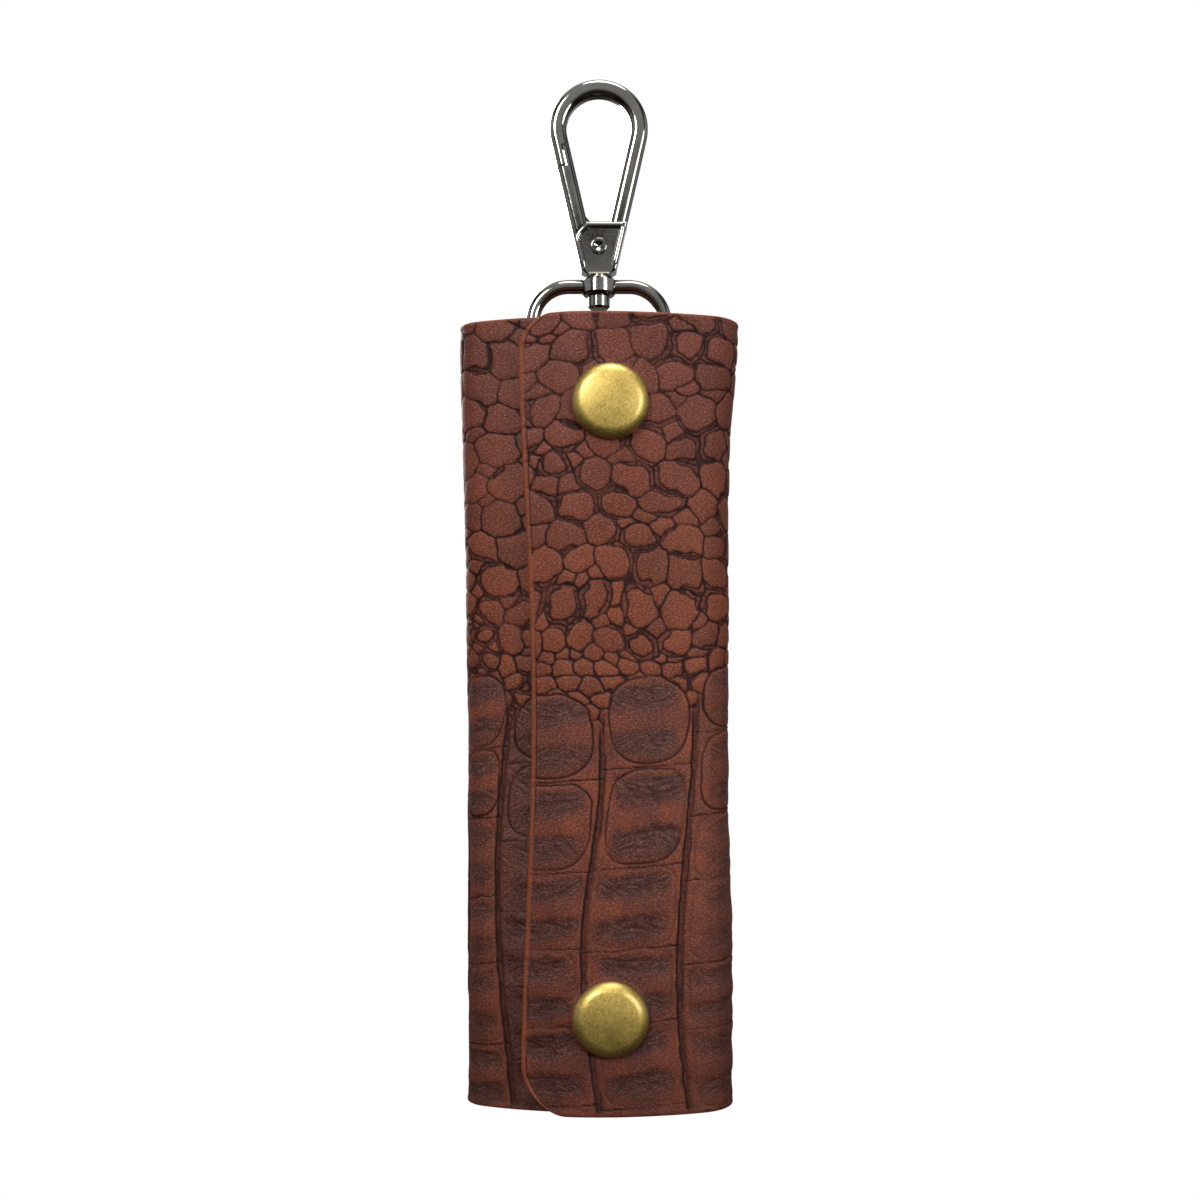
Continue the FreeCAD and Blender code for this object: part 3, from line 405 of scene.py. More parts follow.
def plate_lines(column, row, across, level, length):
    """How far a place is inside a plate's outline, and the outline, crease, valley and seam round it."""
    left, right = LINES[column], LINES[column + 1]
    kind = min(row, 2)
    power = SQUARENESS[kind]
    oval = np.abs(across / PLATE_WIDE) ** power + np.abs((level - 0.5) / PLATE_HIGH) ** power
    depth = (1 - oval ** (1 / power)) * np.minimum((right - left) / 2, length / 2)
    outline = line(depth + 0.25 * ragged, OUTLINE_WIDE) * OUTLINES[kind] * (0.4 + 0.6 * fade)
    crease = line(level * length, CREASE_WIDE) * (row > 0) * (0.45 + 0.55 * fade)
    valley = line(np.minimum(AROUND - left, right - AROUND), VALLEY_WIDE + 0.2 * ragged)
    right_seam = line(right - AROUND - RIGHT_SEAM_IN - 0.25 * ragged, RIGHT_SEAM_WIDE)
    left_seam = line(AROUND - left - LEFT_SEAM_IN - 0.3 * ragged, LEFT_SEAM_WIDE)
    return depth, outline, crease, valley, np.maximum(right_seam, 0.7 * fade * left_seam)


def plate_hollows(column, across, level):
    """The two bands across a plate, and the hollows in them, which end before the plate's sides."""
    lean = rng.uniform(-HOLLOW_LEAN, HOLLOW_LEAN)
    phase = 2 * np.clip(level + 0.03 * ragged + lean * across, 0, 0.999) % 1
    bands = smooth(0.12, 0.34, phase) * (1 - smooth(0.5, 0.98, phase))
    middle = rng.uniform(-HOLLOW_ASIDE, HOLLOW_ASIDE)
    hollow = bands * (1 - smooth(0.5, 0.97, np.abs(across - middle))) * rng.uniform(*HOLLOW_SHARES)
    return bands, hollow * CALMER.get(column, 1.0)


print("kinds of plate:", len(SQUARENESS))

# %% [markdown]
# Each plate writes its values into the field where it lies. It is worn to orange on the ridges between the
# hollows. Two columns are darker: the one at the right side with painted shade, and the one under the flap's
# edge with a painted shadow of the flap and some burnish.

# %% Big plates
WRINKLE_SIZE, WRINKLE_LONG, WRINKLE_WIDE, FAN = 0.6, 4.5, 0.2, 0.05
# Painted shade: column 2 at the right side is darkened as shade, and column 7 under the flap's edge as the flap's
# shadow, partly burnish.
SHADE_AND_BURNISH = {2: 0.22, 7: 0.8}
PARTS = ("height", "groove", "burnish", "glow", "plate", "fold")
pressed = {name: np.zeros(AROUND.shape) for name in PARTS}


def press_plate(column, row, start, end):
    """One plate's share of the field, written where the plate is."""
    left, right = LINES[column], LINES[column + 1]
    aside = AROUND - (left + right) / 2
    across = aside / ((right - left) / 2)
    level = (BELOW + 0.5 * across + 0.3 * ragged - start) / (end - start)
    where = (AROUND >= left) & (AROUND < right) & (level < 1) & ((level >= 0) | (row == 0))
    depth, outline, crease, valley, seam = plate_lines(column, row, across, level, end - start)
    bands, hollow = plate_hollows(column, across, level)
    fan = FAN * aside ** 2 * np.where(level < 0.5, 1, -1)
    wrinkle = line(wobble(WRINKLE_SIZE, 40 + 9 * column + row, WRINKLE_LONG, fan), WRINKLE_WIDE)
    stand = 0.1 * smooth(0, 1.5, depth) - 0.34 * valley - 0.2 * seam - 0.24 * outline - 0.26 * crease - 0.12
    stand -= hollow * (0.14 + 0.05 * row) + 0.09 * wrinkle * hollow
    dark_lines = [valley * (0.34 + 0.12 * cracks), 0.95 * seam, crease, 0.85 * outline]
    worn = np.clip(1.15 - 1.4 * hollow - 0.6 * (np.abs(across) < 0.3), 0, 1)
    arch = smooth(-0.5, 0.1, depth) if row == 0 else 1.0
    made = {
        "height": stand,
        "groove": np.max([*dark_lines, 0.5 * wrinkle * hollow], axis=0),
        # The burnish value also carries the painted shade of the two darker columns.
        "burnish": np.clip(np.maximum(1.1 * hollow + 0.3 * ragged * hollow, SHADE_AND_BURNISH.get(column, 0)), 0, 1),
        "glow": worn * (0.6 + 0.4 * bands),
        "plate": np.maximum(arch, smooth(0.3, 0.6, level)),
        "fold": BELOW + fan,
    }
    for name, values in made.items():
        pressed[name] = np.where(where, values, pressed[name])


for column in range(COLUMNS):
    creases = creases_of(column)
    for row, (start, end) in enumerate(zip(creases[:-1], creases[1:])):
        press_plate(column, row, start, end)
print("share of the sheet in plates:", round(float((pressed["plate"] > 0.5).mean()), 2))

# %% [markdown]
# The two patterns are laid together, and a soft unevenness goes over all of it. A mesh reads the field
# between its grid points, so its own grid can be finer or coarser than the field's.

# %% One field from two
UNEVEN, UNEVEN_SIZE, SINK = 0.08, 7, 0.05
is_plate = pressed["plate"]
height = scale_height * (1 - is_plate) + pressed["height"] * is_plate
height += UNEVEN * wobble(UNEVEN_SIZE, 7) - SINK
FIELDS = {
    "groove": scale_groove * (1 - is_plate) + pressed["groove"] * is_plate,
    "tone": scale_tone * (1 - is_plate) + 0.5 * is_plate,
    "burnish": pressed["burnish"] * is_plate,
    "glow": pressed["glow"] * is_plate,
    "plate": is_plate,
    "fold": pressed["fold"],
}


def read_field(values, around, below):
    """The field between its grid points."""
    i = np.clip((around - around_axis[0]) / PITCH, 0, len(around_axis) - 1.001)
    j = np.clip((below - below_axis[0]) / PITCH, 0, len(below_axis) - 1.001)
    a, b = i.astype(int), j.astype(int)
    return mix_corners(values, a, b, i - a, j - b)


print("leather stands between", round(height.min(), 2), "and", round(height.max(), 2), "mm of its face")

# %% [markdown]
# ## The leather as meshes
# On the real case the wrap is one sheet. Here it is three pieces: flap and under layer reach round the sides
# to the back, where they meet the third piece. A Displace modifier on a plain sheet could raise the scales. The
# points are placed directly instead, because numpy already has the field, and a mesh with plain points is quick
# to load and to export.

# %% Mesh helpers


def grid_faces(rows, columns, first_index=0, flip=False):
    """Quads over a grid of points, row by row."""
    index = np.arange(rows * columns).reshape(rows, columns) + first_index
    corners = [index[:-1, :-1], index[1:, :-1], index[1:, 1:], index[:-1, 1:]]
    quads = np.stack(corners, axis=-1).reshape(-1, 4)
    return quads[:, ::-1] if flip else quads


def tube_faces(rows, columns, first_index=0, turn=1):
    """Quads of a tube, with rows along it and columns round it. A turn of -1 faces them the other way."""
    index = np.arange(rows * columns).reshape(rows, columns) + first_index
    after = np.roll(index, -turn, axis=1)
    return np.stack([index[:-1], index[1:], after[1:], after[:-1]], axis=-1).reshape(-1, 4)


def make_mesh(name, points_mm, faces, attributes):
    """A smooth mesh object that carries a value or a vector per point for each attribute."""
    mesh = bpy.data.meshes.new(name)
    mesh.from_pydata((points_mm * MM).tolist(), [], faces)
    for label, values in attributes.items():
        kind, part = ("FLOAT_VECTOR", "vector") if values.ndim == 2 else ("FLOAT", "value")
        stored = mesh.attributes.new(label, kind, "POINT")
        stored.data.foreach_set(part, values.astype(np.float32).ravel())
    mesh.polygons.foreach_set("use_smooth", np.ones(len(mesh.polygons), bool))
    mesh.validate()
    piece = bpy.data.objects.new(name, mesh)
    bpy.context.scene.collection.objects.link(piece)
    return piece


# %% [markdown]
# The flap's free edge is not straight: it bows in at its middle, and both its corners are cut round. The
# under layer ends straight, below the flap, with small corners.

# %% Free edges
CORNERS = {"flap": (6.0, 8.5), "under": (3.0, 3.0)}
EDGE_AT, EDGE_BOW = -12.55, 0.95
UNDER_END = 11.0
SETTLE, SETTLE_FROM, SETTLE_FULL = 1.12, 4.0, 12.0


def corner_cut(below, radii):
    """How far a rounded corner takes the free edge back, at a depth below the top."""
    cut = np.zeros_like(below)
    for radius, gap in ((radii[0], below), (radii[1], LENGTH - below)):
        reach = np.clip(radius - gap, 0, radius)
        cut = np.maximum(cut, radius - np.sqrt(radius ** 2 - reach ** 2))
    return cut


def flap_edge(below):
    return EDGE_AT - EDGE_BOW * np.cos(2 * np.pi * below / LENGTH) + corner_cut(below, CORNERS["flap"])


def under_edge(below):
    return around_at(UNDER_ARC, UNDER_END) - corner_cut(below, CORNERS["under"])


def flap_settle(around):
    """The flap's free side lies down on the under layer."""
    return -SETTLE * smooth(SETTLE_FROM, SETTLE_FULL, -around) * (around < 0)


print("free edge half way down:", round(float(flap_edge(np.array(LENGTH / 2))), 2), "mm from the middle")

# %% [markdown]
# Snaps and rivets press the leather flat under their heads, outside and inside. A pressed spot is a disc
# with a floor: the leather there leaves its curve and lies level. A boolean could cut such a seat, but it
# would leave a sharp rim, and pressed leather has a soft one.

# %% Pressed spots
SNAP_ASIDE = 1.9
STUD_ASIDE = SNAP_ASIDE * (FACE_RADIUS - LAYER) / FACE_RADIUS
CAP_PRESS, STUD_PRESS, SOCKET_PRESS, EYELET_PRESS, RIVET_PRESS = 6.3, 4.65, 5.45, 4.25, 4.05
HEAD_FLOOR, STUD_FLOOR, SOCKET_FLOOR, EYELET_FLOOR = -0.03, -0.53, 0.48, 0.28
PRESS_SLOPE = 0.6


def drop_of(node):
    """How far below the top edge a solid's middle is."""
    low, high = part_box(node)
    return TOP - (low.z + high.z) / 2 / MM


def spots(around, nodes, radius, floor):
    """A pressed spot for each node: place round the wrap, place below the top, radius and floor."""
    return [(around, drop_of(node), radius, floor) for node in nodes]


def press(lift, around, below, marks):
    """Heights above the face, with the marks pressed into them."""
    for centre, drop, radius, floor in marks:
        share = 1 - smooth(radius, radius + PRESS_SLOPE, np.hypot(around - centre, below - drop))
        level = floor + (around - centre) ** 2 / (2 * FACE_RADIUS)
        lift = lift * (1 - share) + level * share
    return lift


CAPS = ("upper_snap_cap", "lower_snap_cap")
RIVETS = ("upper_rivet_cap", "lower_rivet_cap")
snap_around, stud_around = around_at(FLAP_ARC, SNAP_ASIDE), around_at(UNDER_ARC, STUD_ASIDE)
back_middle = STARTS[BACK_ARC] + (math.radians(90) - turn_back) * FACE_RADIUS
FLAP_SPOTS = spots(snap_around, CAPS, CAP_PRESS, HEAD_FLOOR)
SOCKET_SPOTS = spots(snap_around, CAPS, SOCKET_PRESS, SOCKET_FLOOR - LEATHER)
STUD_SPOTS = spots(stud_around, CAPS, STUD_PRESS, STUD_FLOOR)
EYELET_SPOTS = spots(stud_around, CAPS, EYELET_PRESS, EYELET_FLOOR - LEATHER)
RIVET_SPOTS = spots(back_middle, RIVETS, RIVET_PRESS, HEAD_FLOOR)
print("caps below the top, in mm:", [round(drop_of(node), 1) for node in CAPS])

# %% [markdown]
# A piece is built from rows down the sheet and columns round it, finer near a free edge, where the leather
# rolls over. Steps beyond a free edge have a level: they stay at the edge and go down through the
# thickness. A Solidify modifier would give a thickness too, but with square edges and the relief on both
# faces.

# %% The grid of a piece
ROLL = 0.6
LEVELS = (0.95, 1.4, LEATHER)
INSET = 0.25
RIM_STEPS, RIM_END = (0.05, 0.15, 0.32), 0.45
DOWN, FLESH_LEVEL = (3, 2, 1), 3


def lies_flat(around):
    return np.zeros_like(around)


Cut = namedtuple("Cut", "start end free_start free_end settle", defaults=(False, False, lies_flat))


def rows_of(step):
    """Places below the top edge, finer at both ends."""
    inner = np.arange(ROLL, LENGTH - ROLL, step)
    rim = np.array([0.0, *RIM_STEPS])
    return np.concatenate([rim, inner, LENGTH - rim[::-1]])


def shares_of(widths, cut):
    """Column positions from 0 to 1, finer at a free edge."""
    total = widths.sum()
    shares = np.concatenate([[0.0], np.cumsum(widths)]) / total
    rim = np.array(RIM_STEPS) / total
    if cut.free_start:
        shares = np.concatenate([[0.0], rim, shares[shares > RIM_END / total]])
    if cut.free_end:
        shares = np.concatenate([shares[shares < 1 - RIM_END / total], 1 - rim[::-1], [1.0]])
    return shares


def sheet_grid(cut, widths, row_step):
    """A piece's grid: places round the wrap, places below the top, and levels down the cut edge."""
    rows, shares = rows_of(row_step), shares_of(widths, cut)
    row_level = np.concatenate([DOWN, np.zeros(len(rows), int), DOWN[::-1]])
    rows = np.concatenate([[INSET, 0, 0], rows, [LENGTH, LENGTH, LENGTH - INSET]])
    column_level = np.zeros(len(shares), int)
    if cut.free_start:
        column_level = np.concatenate([DOWN, column_level])
        shares = np.concatenate([[0, 0, 0], shares])
    if cut.free_end:
        column_level = np.concatenate([column_level, DOWN[::-1]])
        shares = np.concatenate([shares, [1, 1, 1]])
    below = np.repeat(rows[:, None], len(shares), axis=1)
    low, high = cut.start(below), cut.end(below)
    around = low + (high - low) * shares[None, :]
    innermost = column_level == FLESH_LEVEL
    around = np.where(innermost & (shares == 0), around + INSET, around)
    around = np.where(innermost & (shares == 1), around - INSET, around)
    return around, below, np.maximum(row_level[:, None], column_level[None, :])


print("levels down a cut edge, in mm:", LEVELS)

# %% [markdown]
# The outer side takes its height from the field, less the roll at a free edge. Along with its points it
# keeps what the shader needs: the field's other values, where the edge is cut raw, and the place on the
# sheet, so that noise lies on the leather and moves with it when the flap opens.

# %% The outer side
RELIEF_FADE = 1.2
RAW_FROM, RAW_FULL = 0.5, 0.05
RAW_BAND, RAW_BAND_IN, RAW_LINE_WIDE, RAW_LINE = 0.95, 0.7, 0.15, 0.6


def edge_margin(cut, around, below):
    """How far a place is from the nearest free edge of its piece."""
    margin = np.minimum(below, LENGTH - below)
    if cut.free_start:
        margin = np.minimum(margin, around - cut.start(below))
    if cut.free_end:
        margin = np.minimum(margin, cut.end(below) - around)
    return margin


def outer_points(cut, around, below, level, marks):
    """Points of the outer side and of the cut edges."""
    margin = edge_margin(cut, around, below)
    roll = ROLL - np.sqrt(ROLL ** 2 - np.clip(ROLL - margin, 0, ROLL) ** 2)
    relief = read_field(height, around, below) * smooth(0, RELIEF_FADE, margin)
    relief = press(relief, around, below, marks)
    lift = np.where(level == 0, relief - roll, -np.array((0,) + LEVELS)[level])
    return place(around, below, lift + cut.settle(around)).reshape(-1, 3)


def outer_values(cut, around, below, level):
    """What the shader reads on the outer side."""
    values = {label: read_field(part, around, below).ravel() for label, part in FIELDS.items()}
    raw = np.maximum(smooth(RAW_FROM, RAW_FULL, edge_margin(cut, around, below)), level > 0)
    if cut.free_start:
        from_edge = around - cut.start(below)
        raw = np.maximum(raw, smooth(RAW_BAND, RAW_BAND_IN, from_edge))
        beside = RAW_LINE * line(from_edge - RAW_BAND, RAW_LINE_WIDE) * read_field(fade, around, below)
        values["groove"] = np.maximum(values["groove"], beside.ravel())
    values["cut_edge"] = raw.ravel().astype(float)
    values["inside"] = (level == FLESH_LEVEL).ravel().astype(float)
    values["sheet"] = np.stack([around, below, np.zeros_like(around)], axis=-1).reshape(-1, 3)
    return values


# %% [markdown]
# The flesh side is plain, so a coarser grid is enough for it. It starts where the cut edges end, and only
# the sockets and eyelets leave their marks in it.

# %% The flesh side and the whole piece
FLESH_ROWS, FLESH_COLUMNS, FLESH_NOISE = 260, 120, 5.0


def flesh_side(cut, marks):
    """Points of the flesh side, and the values that it has other than zero."""
    rows = np.linspace(INSET, LENGTH - INSET, FLESH_ROWS)
    shares = np.linspace(0, 1, FLESH_COLUMNS)
    below = np.repeat(rows[:, None], FLESH_COLUMNS, axis=1)
    low = cut.start(below) + (INSET if cut.free_start else 0)
    high = cut.end(below) - (INSET if cut.free_end else 0)
    around = low + (high - low) * shares[None, :]
    lift = press(np.full_like(around, -LEATHER), around, below, marks)
    points = place(around, below, lift + cut.settle(around)).reshape(-1, 3)
    sheet = np.stack([around, below, np.full_like(around, FLESH_NOISE)], axis=-1).reshape(-1, 3)
    return points, {"sheet": sheet, "inside": np.ones(len(points))}


def leather_piece(name, cut, widths, row_step, outer_spots=(), inner_spots=()):
    """One piece of the wrap, outer side and flesh side in one mesh."""
    grid = sheet_grid(cut, widths, row_step)
    outer = outer_points(cut, *grid, outer_spots)
    flesh, flesh_values = flesh_side(cut, inner_spots)
    blank = np.zeros(len(flesh))
    values = {}
    for label, part in outer_values(cut, *grid).items():
        values[label] = np.concatenate([part, flesh_values.get(label, blank)])
    outer_faces = grid_faces(*grid[0].shape)
    flesh_faces = grid_faces(FLESH_ROWS, FLESH_COLUMNS, first_index=len(outer), flip=True)
    faces = np.concatenate([outer_faces, flesh_faces]).tolist()
    piece = make_mesh(name, np.concatenate([outer, flesh]), faces, values)
    print(name, len(piece.data.vertices), "points")
    return piece


# %% [markdown]
# The fine columns go where the leather is seen from the front. Under the flap and on the back a coarse grid
# is enough, which saves a good part of the points.

# %% The three pieces
FINE, COARSE = 0.2, 0.3
FINE_LEFT, FINE_ROUND_SIDE, UNDER_SHOWN = 12.5, 9.0, -10.0
seam_right, seam_left = STARTS[BACK_ARC], STARTS[LEFT_ARC]


def fixed(value):
    """An end of a piece that runs straight down the sheet."""
    return lambda below: np.full_like(below, value)


def columns_of(*stretches):
    """Widths of the columns for stretches given by length and step."""
    return np.concatenate([np.full(int(length / step), step) for length, step in stretches])


front_end = STARTS[RIGHT_ARC] + FINE_ROUND_SIDE
flap_columns = columns_of((front_end + FINE_LEFT, FINE), (seam_right - front_end, COARSE))
flap_cut = Cut(flap_edge, fixed(seam_right), free_start=True, settle=flap_settle)
flap = leather_piece("leather_flap", flap_cut, flap_columns, FINE, FLAP_SPOTS, SOCKET_SPOTS)
shown_end = around_at(UNDER_ARC, UNDER_SHOWN)
hidden = around_at(UNDER_ARC, UNDER_END) - shown_end
under_columns = columns_of((shown_end - seam_left, FINE), (hidden, COARSE))
under_cut = Cut(fixed(seam_left), under_edge, free_end=True)
under = leather_piece("leather_under", under_cut, under_columns, FINE, STUD_SPOTS, EYELET_SPOTS)
back_columns = columns_of((seam_left - seam_right, COARSE))
back_cut = Cut(fixed(seam_right), fixed(seam_left))
back = leather_piece("leather_back", back_cut, back_columns, COARSE, RIVET_SPOTS)

# %% [markdown]
# ## Shaders
# A shader is a tree of nodes, and each can be added and linked by hand. That is long to read. So one small
# class stands for a socket and can be used in sums, and a pattern then reads as a formula.

# %% A socket in sums
MIX_A, MIX_B, MIX_RESULT = 6, 7, 2


class Wire:
    """A shader socket that takes part in sums, and can add any other node to its tree."""

    def __init__(self, tree, socket):
        self.tree = tree
        self.socket = socket

    def node(self, kind, inputs, output=0, **settings):
        made = self.tree.nodes.new(kind)
        for name, setting in settings.items():
            setattr(made, name, setting)
        for key, given in inputs.items():
            if isinstance(given, Wire):
                self.tree.links.new(given.socket, made.inputs[key])
            else:
                made.inputs[key].default_value = given
        return Wire(self.tree, made.outputs[output])

    def sum(self, operation, one, other):
        return self.node("ShaderNodeMath", {0: one, 1: other}, operation=operation)

    def __add__(self, other):
        return self.sum("ADD", self, other)

    def __radd__(self, other):
        return self.sum("ADD", other, self)

    def __sub__(self, other):
        return self.sum("SUBTRACT", self, other)

    def __rsub__(self, other):
        return self.sum("SUBTRACT", other, self)

    def __mul__(self, other):
        return self.sum("MULTIPLY", self, other)

    def __rmul__(self, other):
        return self.sum("MULTIPLY", other, self)


def new_material(name):
    """A material with a plain surface shader, that node, and a wire to start from."""
    material = bpy.data.materials.new(name)
    material.use_nodes = True
    tree = material.node_tree
    surface = tree.nodes["Principled BSDF"]
    start = tree.nodes.new("ShaderNodeTexCoord")
    return material, surface, Wire(tree, start.outputs["Object"])


def feed(surface, wire, socket):
    wire.tree.links.new(wire.socket, surface.inputs[socket])


def attribute(start, name, output="Fac"):
    """What the mesh carries under a name."""
    return start.node("ShaderNodeAttribute", {}, output, attribute_name=name)


def noise(start, where, scale, detail=2.0, roughness=0.5):
    inputs = {"Vector": where, "Scale": scale, "Detail": detail, "Roughness": roughness}
    return start.node("ShaderNodeTexNoise", inputs, "Fac")


def between(start, value, low, high):
    """A value's place between two limits, from 0 to 1."""
    return start.node("ShaderNodeMapRange", {"Value": value, "From Min": low, "From Max": high})


def bump(start, ripple, strength, distance):
    inputs = {"Height": ripple, "Strength": strength, "Distance": distance}
    return start.node("ShaderNodeBump", inputs, "Normal")


def tint(red, green, blue):
    """A colour as seen, from 0 to 255, as the linear colour that shaders use."""
    linear = [((c / 255 + 0.055) / 1.055) ** 2.4 if c > 10 else c / 255 / 12.92 for c in (red, green, blue)]
    return (*linear, 1.0)


def blend_colour(start, share, one, other):
    """Two colours mixed, each a wire or an sRGB triple of 0 to 255."""
    first, second = [each if isinstance(each, Wire) else tint(*each) for each in (one, other)]
    inputs = {"Factor": share, MIX_A: first, MIX_B: second}
    return start.node("ShaderNodeMix", inputs, MIX_RESULT, data_type="RGBA")


# %% [markdown]
# The leather's shader reads the field that the mesh carries. Grooves are nearly black, scale tops are
# red-brown, burnished hollows are dark brown, and worn ridges turn to orange. An image could be painted for
# this. Formulas on the field are used, because they stay sharp at any distance and always lie on the shape
# that they belong to. Grain finer than the mesh is a bump.

# %% Signs on the leather
GRAIN_SLANT, GRAIN_STRETCH = (0.0, 0.0, 0.6), (0.6, 1.0, 1.0)
FOLD_LONG, FOLD_TIGHT = 0.4, 2.3


def leather_signs(start):
    """The field that the mesh carries, and noises of several sizes, by name."""
    on = SimpleNamespace(**{label: attribute(start, label) for label in (*FIELDS, "cut_edge", "inside")})
    sheet = attribute(start, "sheet", "Vector")
    slant = {"Vector": sheet, "Rotation": GRAIN_SLANT, "Scale": GRAIN_STRETCH}
    around = start.node("ShaderNodeSeparateXYZ", {"Vector": sheet}, "X")
    fanned = start.node("ShaderNodeCombineXYZ", {"X": around * FOLD_LONG, "Y": on.fold * FOLD_TIGHT})
    on.below = start.node("ShaderNodeSeparateXYZ", {"Vector": sheet}, "Y")
    on.cloudy = noise(start, sheet, 0.16, 3.0)
    on.grain = noise(start, start.node("ShaderNodeMapping", slant), 3.8, 3.0, 0.6)
    on.speck = noise(start, sheet, 5.5, 2.0)
    on.wrinkle = noise(start, fanned, 1.0, 2.0, 0.5)
    return on


# %% [markdown]
# The colours are laid one over the other, as a leather worker lays dyes: the ground of scales and plates, the
# dark hollows with their wrinkles and a painted sheen on these, painted shade on two columns, the grain with a
# painted sheen on its light specks, the grooves, a painted shade over the foot, and last the raw edge and the
# flesh side.

# %% Leather colours
UPPER_SCALES = ((70, 34, 27), (89, 44, 34))
LOWER_SCALES = ((78, 37, 24), (101, 49, 30))
PLATES = ((66, 33, 26), (112, 53, 30))
# The hollows' brown also serves as painted shade on two columns, and the wrinkles' light colour is a painted
# sheen.
HOLLOW_AND_SHADE, WRINKLE_SHEEN, WRINKLE_DARK = (52, 29, 26), (108, 74, 64), (27, 12, 9)
# The grain's light specks are greyed by a painted sheen.
GRAIN_LIGHT_AND_SHEEN, GRAIN_DARK = ((146, 96, 74), (136, 96, 84)), (44, 20, 14)
# The foot's colour is painted shade that darkens the lower end of the case.
VALLEY, DEEP_LINE, FOOT_SHADE = (54, 24, 17), (20, 6, 4), (30, 12, 8)
RAW_EDGE, FLESH = (110, 56, 33), ((92, 62, 44), (128, 92, 66))


def scale_dye(start, on):
    share = between(start, on.cloudy + 0.35 * on.tone, 0.4, 0.95)
    upper = blend_colour(start, share, *UPPER_SCALES)
    lower = blend_colour(start, share, *LOWER_SCALES)
    return blend_colour(start, between(start, on.below, 14.0, 46.0), upper, lower)


def plate_dye(start, on):
    return blend_colour(start, on.glow * between(start, on.cloudy, 0.2, 0.65), *PLATES)


def hollows_shade_and_sheen(start, on, ground):
    # The light share is a painted sheen on the wrinkle ridges; the dark share gives the wrinkle lines.
    light, dark = between(start, on.wrinkle, 0.52, 0.72), between(start, on.wrinkle, 0.46, 0.3)
    # Burnished hollows darken here, and through the burnish value so do the two columns with painted shade.
    top = blend_colour(start, on.burnish * between(start, on.cloudy, 0.2, 0.5), ground, HOLLOW_AND_SHADE)
    top = blend_colour(start, on.burnish * light * 0.55, top, WRINKLE_SHEEN)
    return blend_colour(start, on.burnish * dark * 0.7, top, WRINKLE_DARK)


def grain_and_sheen(start, on, ground):
    # Light specks of the grain, greyed as a painted sheen.
    light = blend_colour(start, on.plate, *GRAIN_LIGHT_AND_SHEEN)
    top = blend_colour(start, between(start, on.grain, 0.48, 0.8) * 0.62, ground, light)
    return blend_colour(start, between(start, on.grain, 0.5, 0.22) * 0.55, top, GRAIN_DARK)


def grooves_and_foot_shade(start, on, ground):
    top = blend_colour(start, between(start, on.groove, 0.05, 0.45), ground, VALLEY)
    top = blend_colour(start, between(start, on.groove, 0.3, 0.72), top, DEEP_LINE)
    # Painted shade: everything darkens towards the lower end.
    return blend_colour(start, between(start, on.below, 88.0, 132.0) * 0.35, top, FOOT_SHADE)


def leather_colour(start, on):
    top = blend_colour(start, on.plate, scale_dye(start, on), plate_dye(start, on))
    for dye in (hollows_shade_and_sheen, grain_and_sheen, grooves_and_foot_shade):
        top = dye(start, on, top)
    cut = blend_colour(start, on.cut_edge * between(start, on.grain, 0.2, 0.6), top, RAW_EDGE)
    return blend_colour(start, on.inside, cut, blend_colour(start, on.grain, *FLESH))


# %% Leather
LEATHER_SHINE, LEATHER_BUMP, LEATHER_BUMP_DEEP = 0.12, 0.5, 0.0002


def leather_material():
    material, surface, start = new_material("embossed_leather")
    on = leather_signs(start)
    feed(surface, leather_colour(start, on), "Base Color")
    rough = 0.52 + 0.2 * on.groove + 0.16 * (on.grain - 0.5) - 0.08 * on.burnish + 0.3 * on.inside
    feed(surface, rough, "Roughness")
    ripple = on.grain * 0.8 + on.speck * 0.3 + on.wrinkle * on.burnish * 0.7
    feed(surface, bump(start, ripple, LEATHER_BUMP, LEATHER_BUMP_DEEP), "Normal")
    surface.inputs["Specular IOR Level"].default_value = LEATHER_SHINE
    return material


leather = leather_material()
for piece in (flap, under, back):
    piece.data.materials.append(leather)
print("leather shader:", len(leather.node_tree.nodes), "nodes")

# %% [markdown]
# ## At the folds
# On the case, the flap turns about a line on its outer face, at the right end of the front, and the under
# layer eases at the left end. An armature could do this. Here the two pieces are only looked up at their
# joints and left unbent, the back rides with the case, and the solid panels are hidden.

# %% Joints of the folds, and the back's ride
FLAP_FOLD, UNDER_FOLD = (4.0, 4.0), (3.0, 5.0)


def fold_at(piece, moving, joint_name, toward, behind, ahead):
    """Bakes the piece's place into its mesh; it bends nothing, and behind and ahead are not used."""
    joint = next(j for j in frame["joints"] if j["name"] == joint_name)
    pivot = Vector(joint["pos_m"])
    pivot.z = 0
    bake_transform(piece)


normal = Vector((math.cos(turn_right), math.sin(turn_right), 0))
fold_at(flap, "flap", "flap_open", Vector((normal.y, -normal.x, 0)), *FLAP_FOLD)
normal = Vector((math.cos(turn_under), math.sin(turn_under), 0))
fold_at(under, "under", "under_relax", Vector((-normal.y, normal.x, 0)), *UNDER_FOLD)
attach(back, "case")
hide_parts("front_flap")
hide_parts("under_panel")
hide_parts("back_panel")
print("folds in mm, behind and ahead:", FLAP_FOLD, UNDER_FOLD)

# %% [markdown]
# ## The inner strap
# A strap goes round the loop's lower bar and round the key ring, and its two layers lie together between.
# A curve with a bevel could make it, but such a bevel can't get narrower across the strap alone. So its
# section, a rounded oblong, is swept along a path of points here.

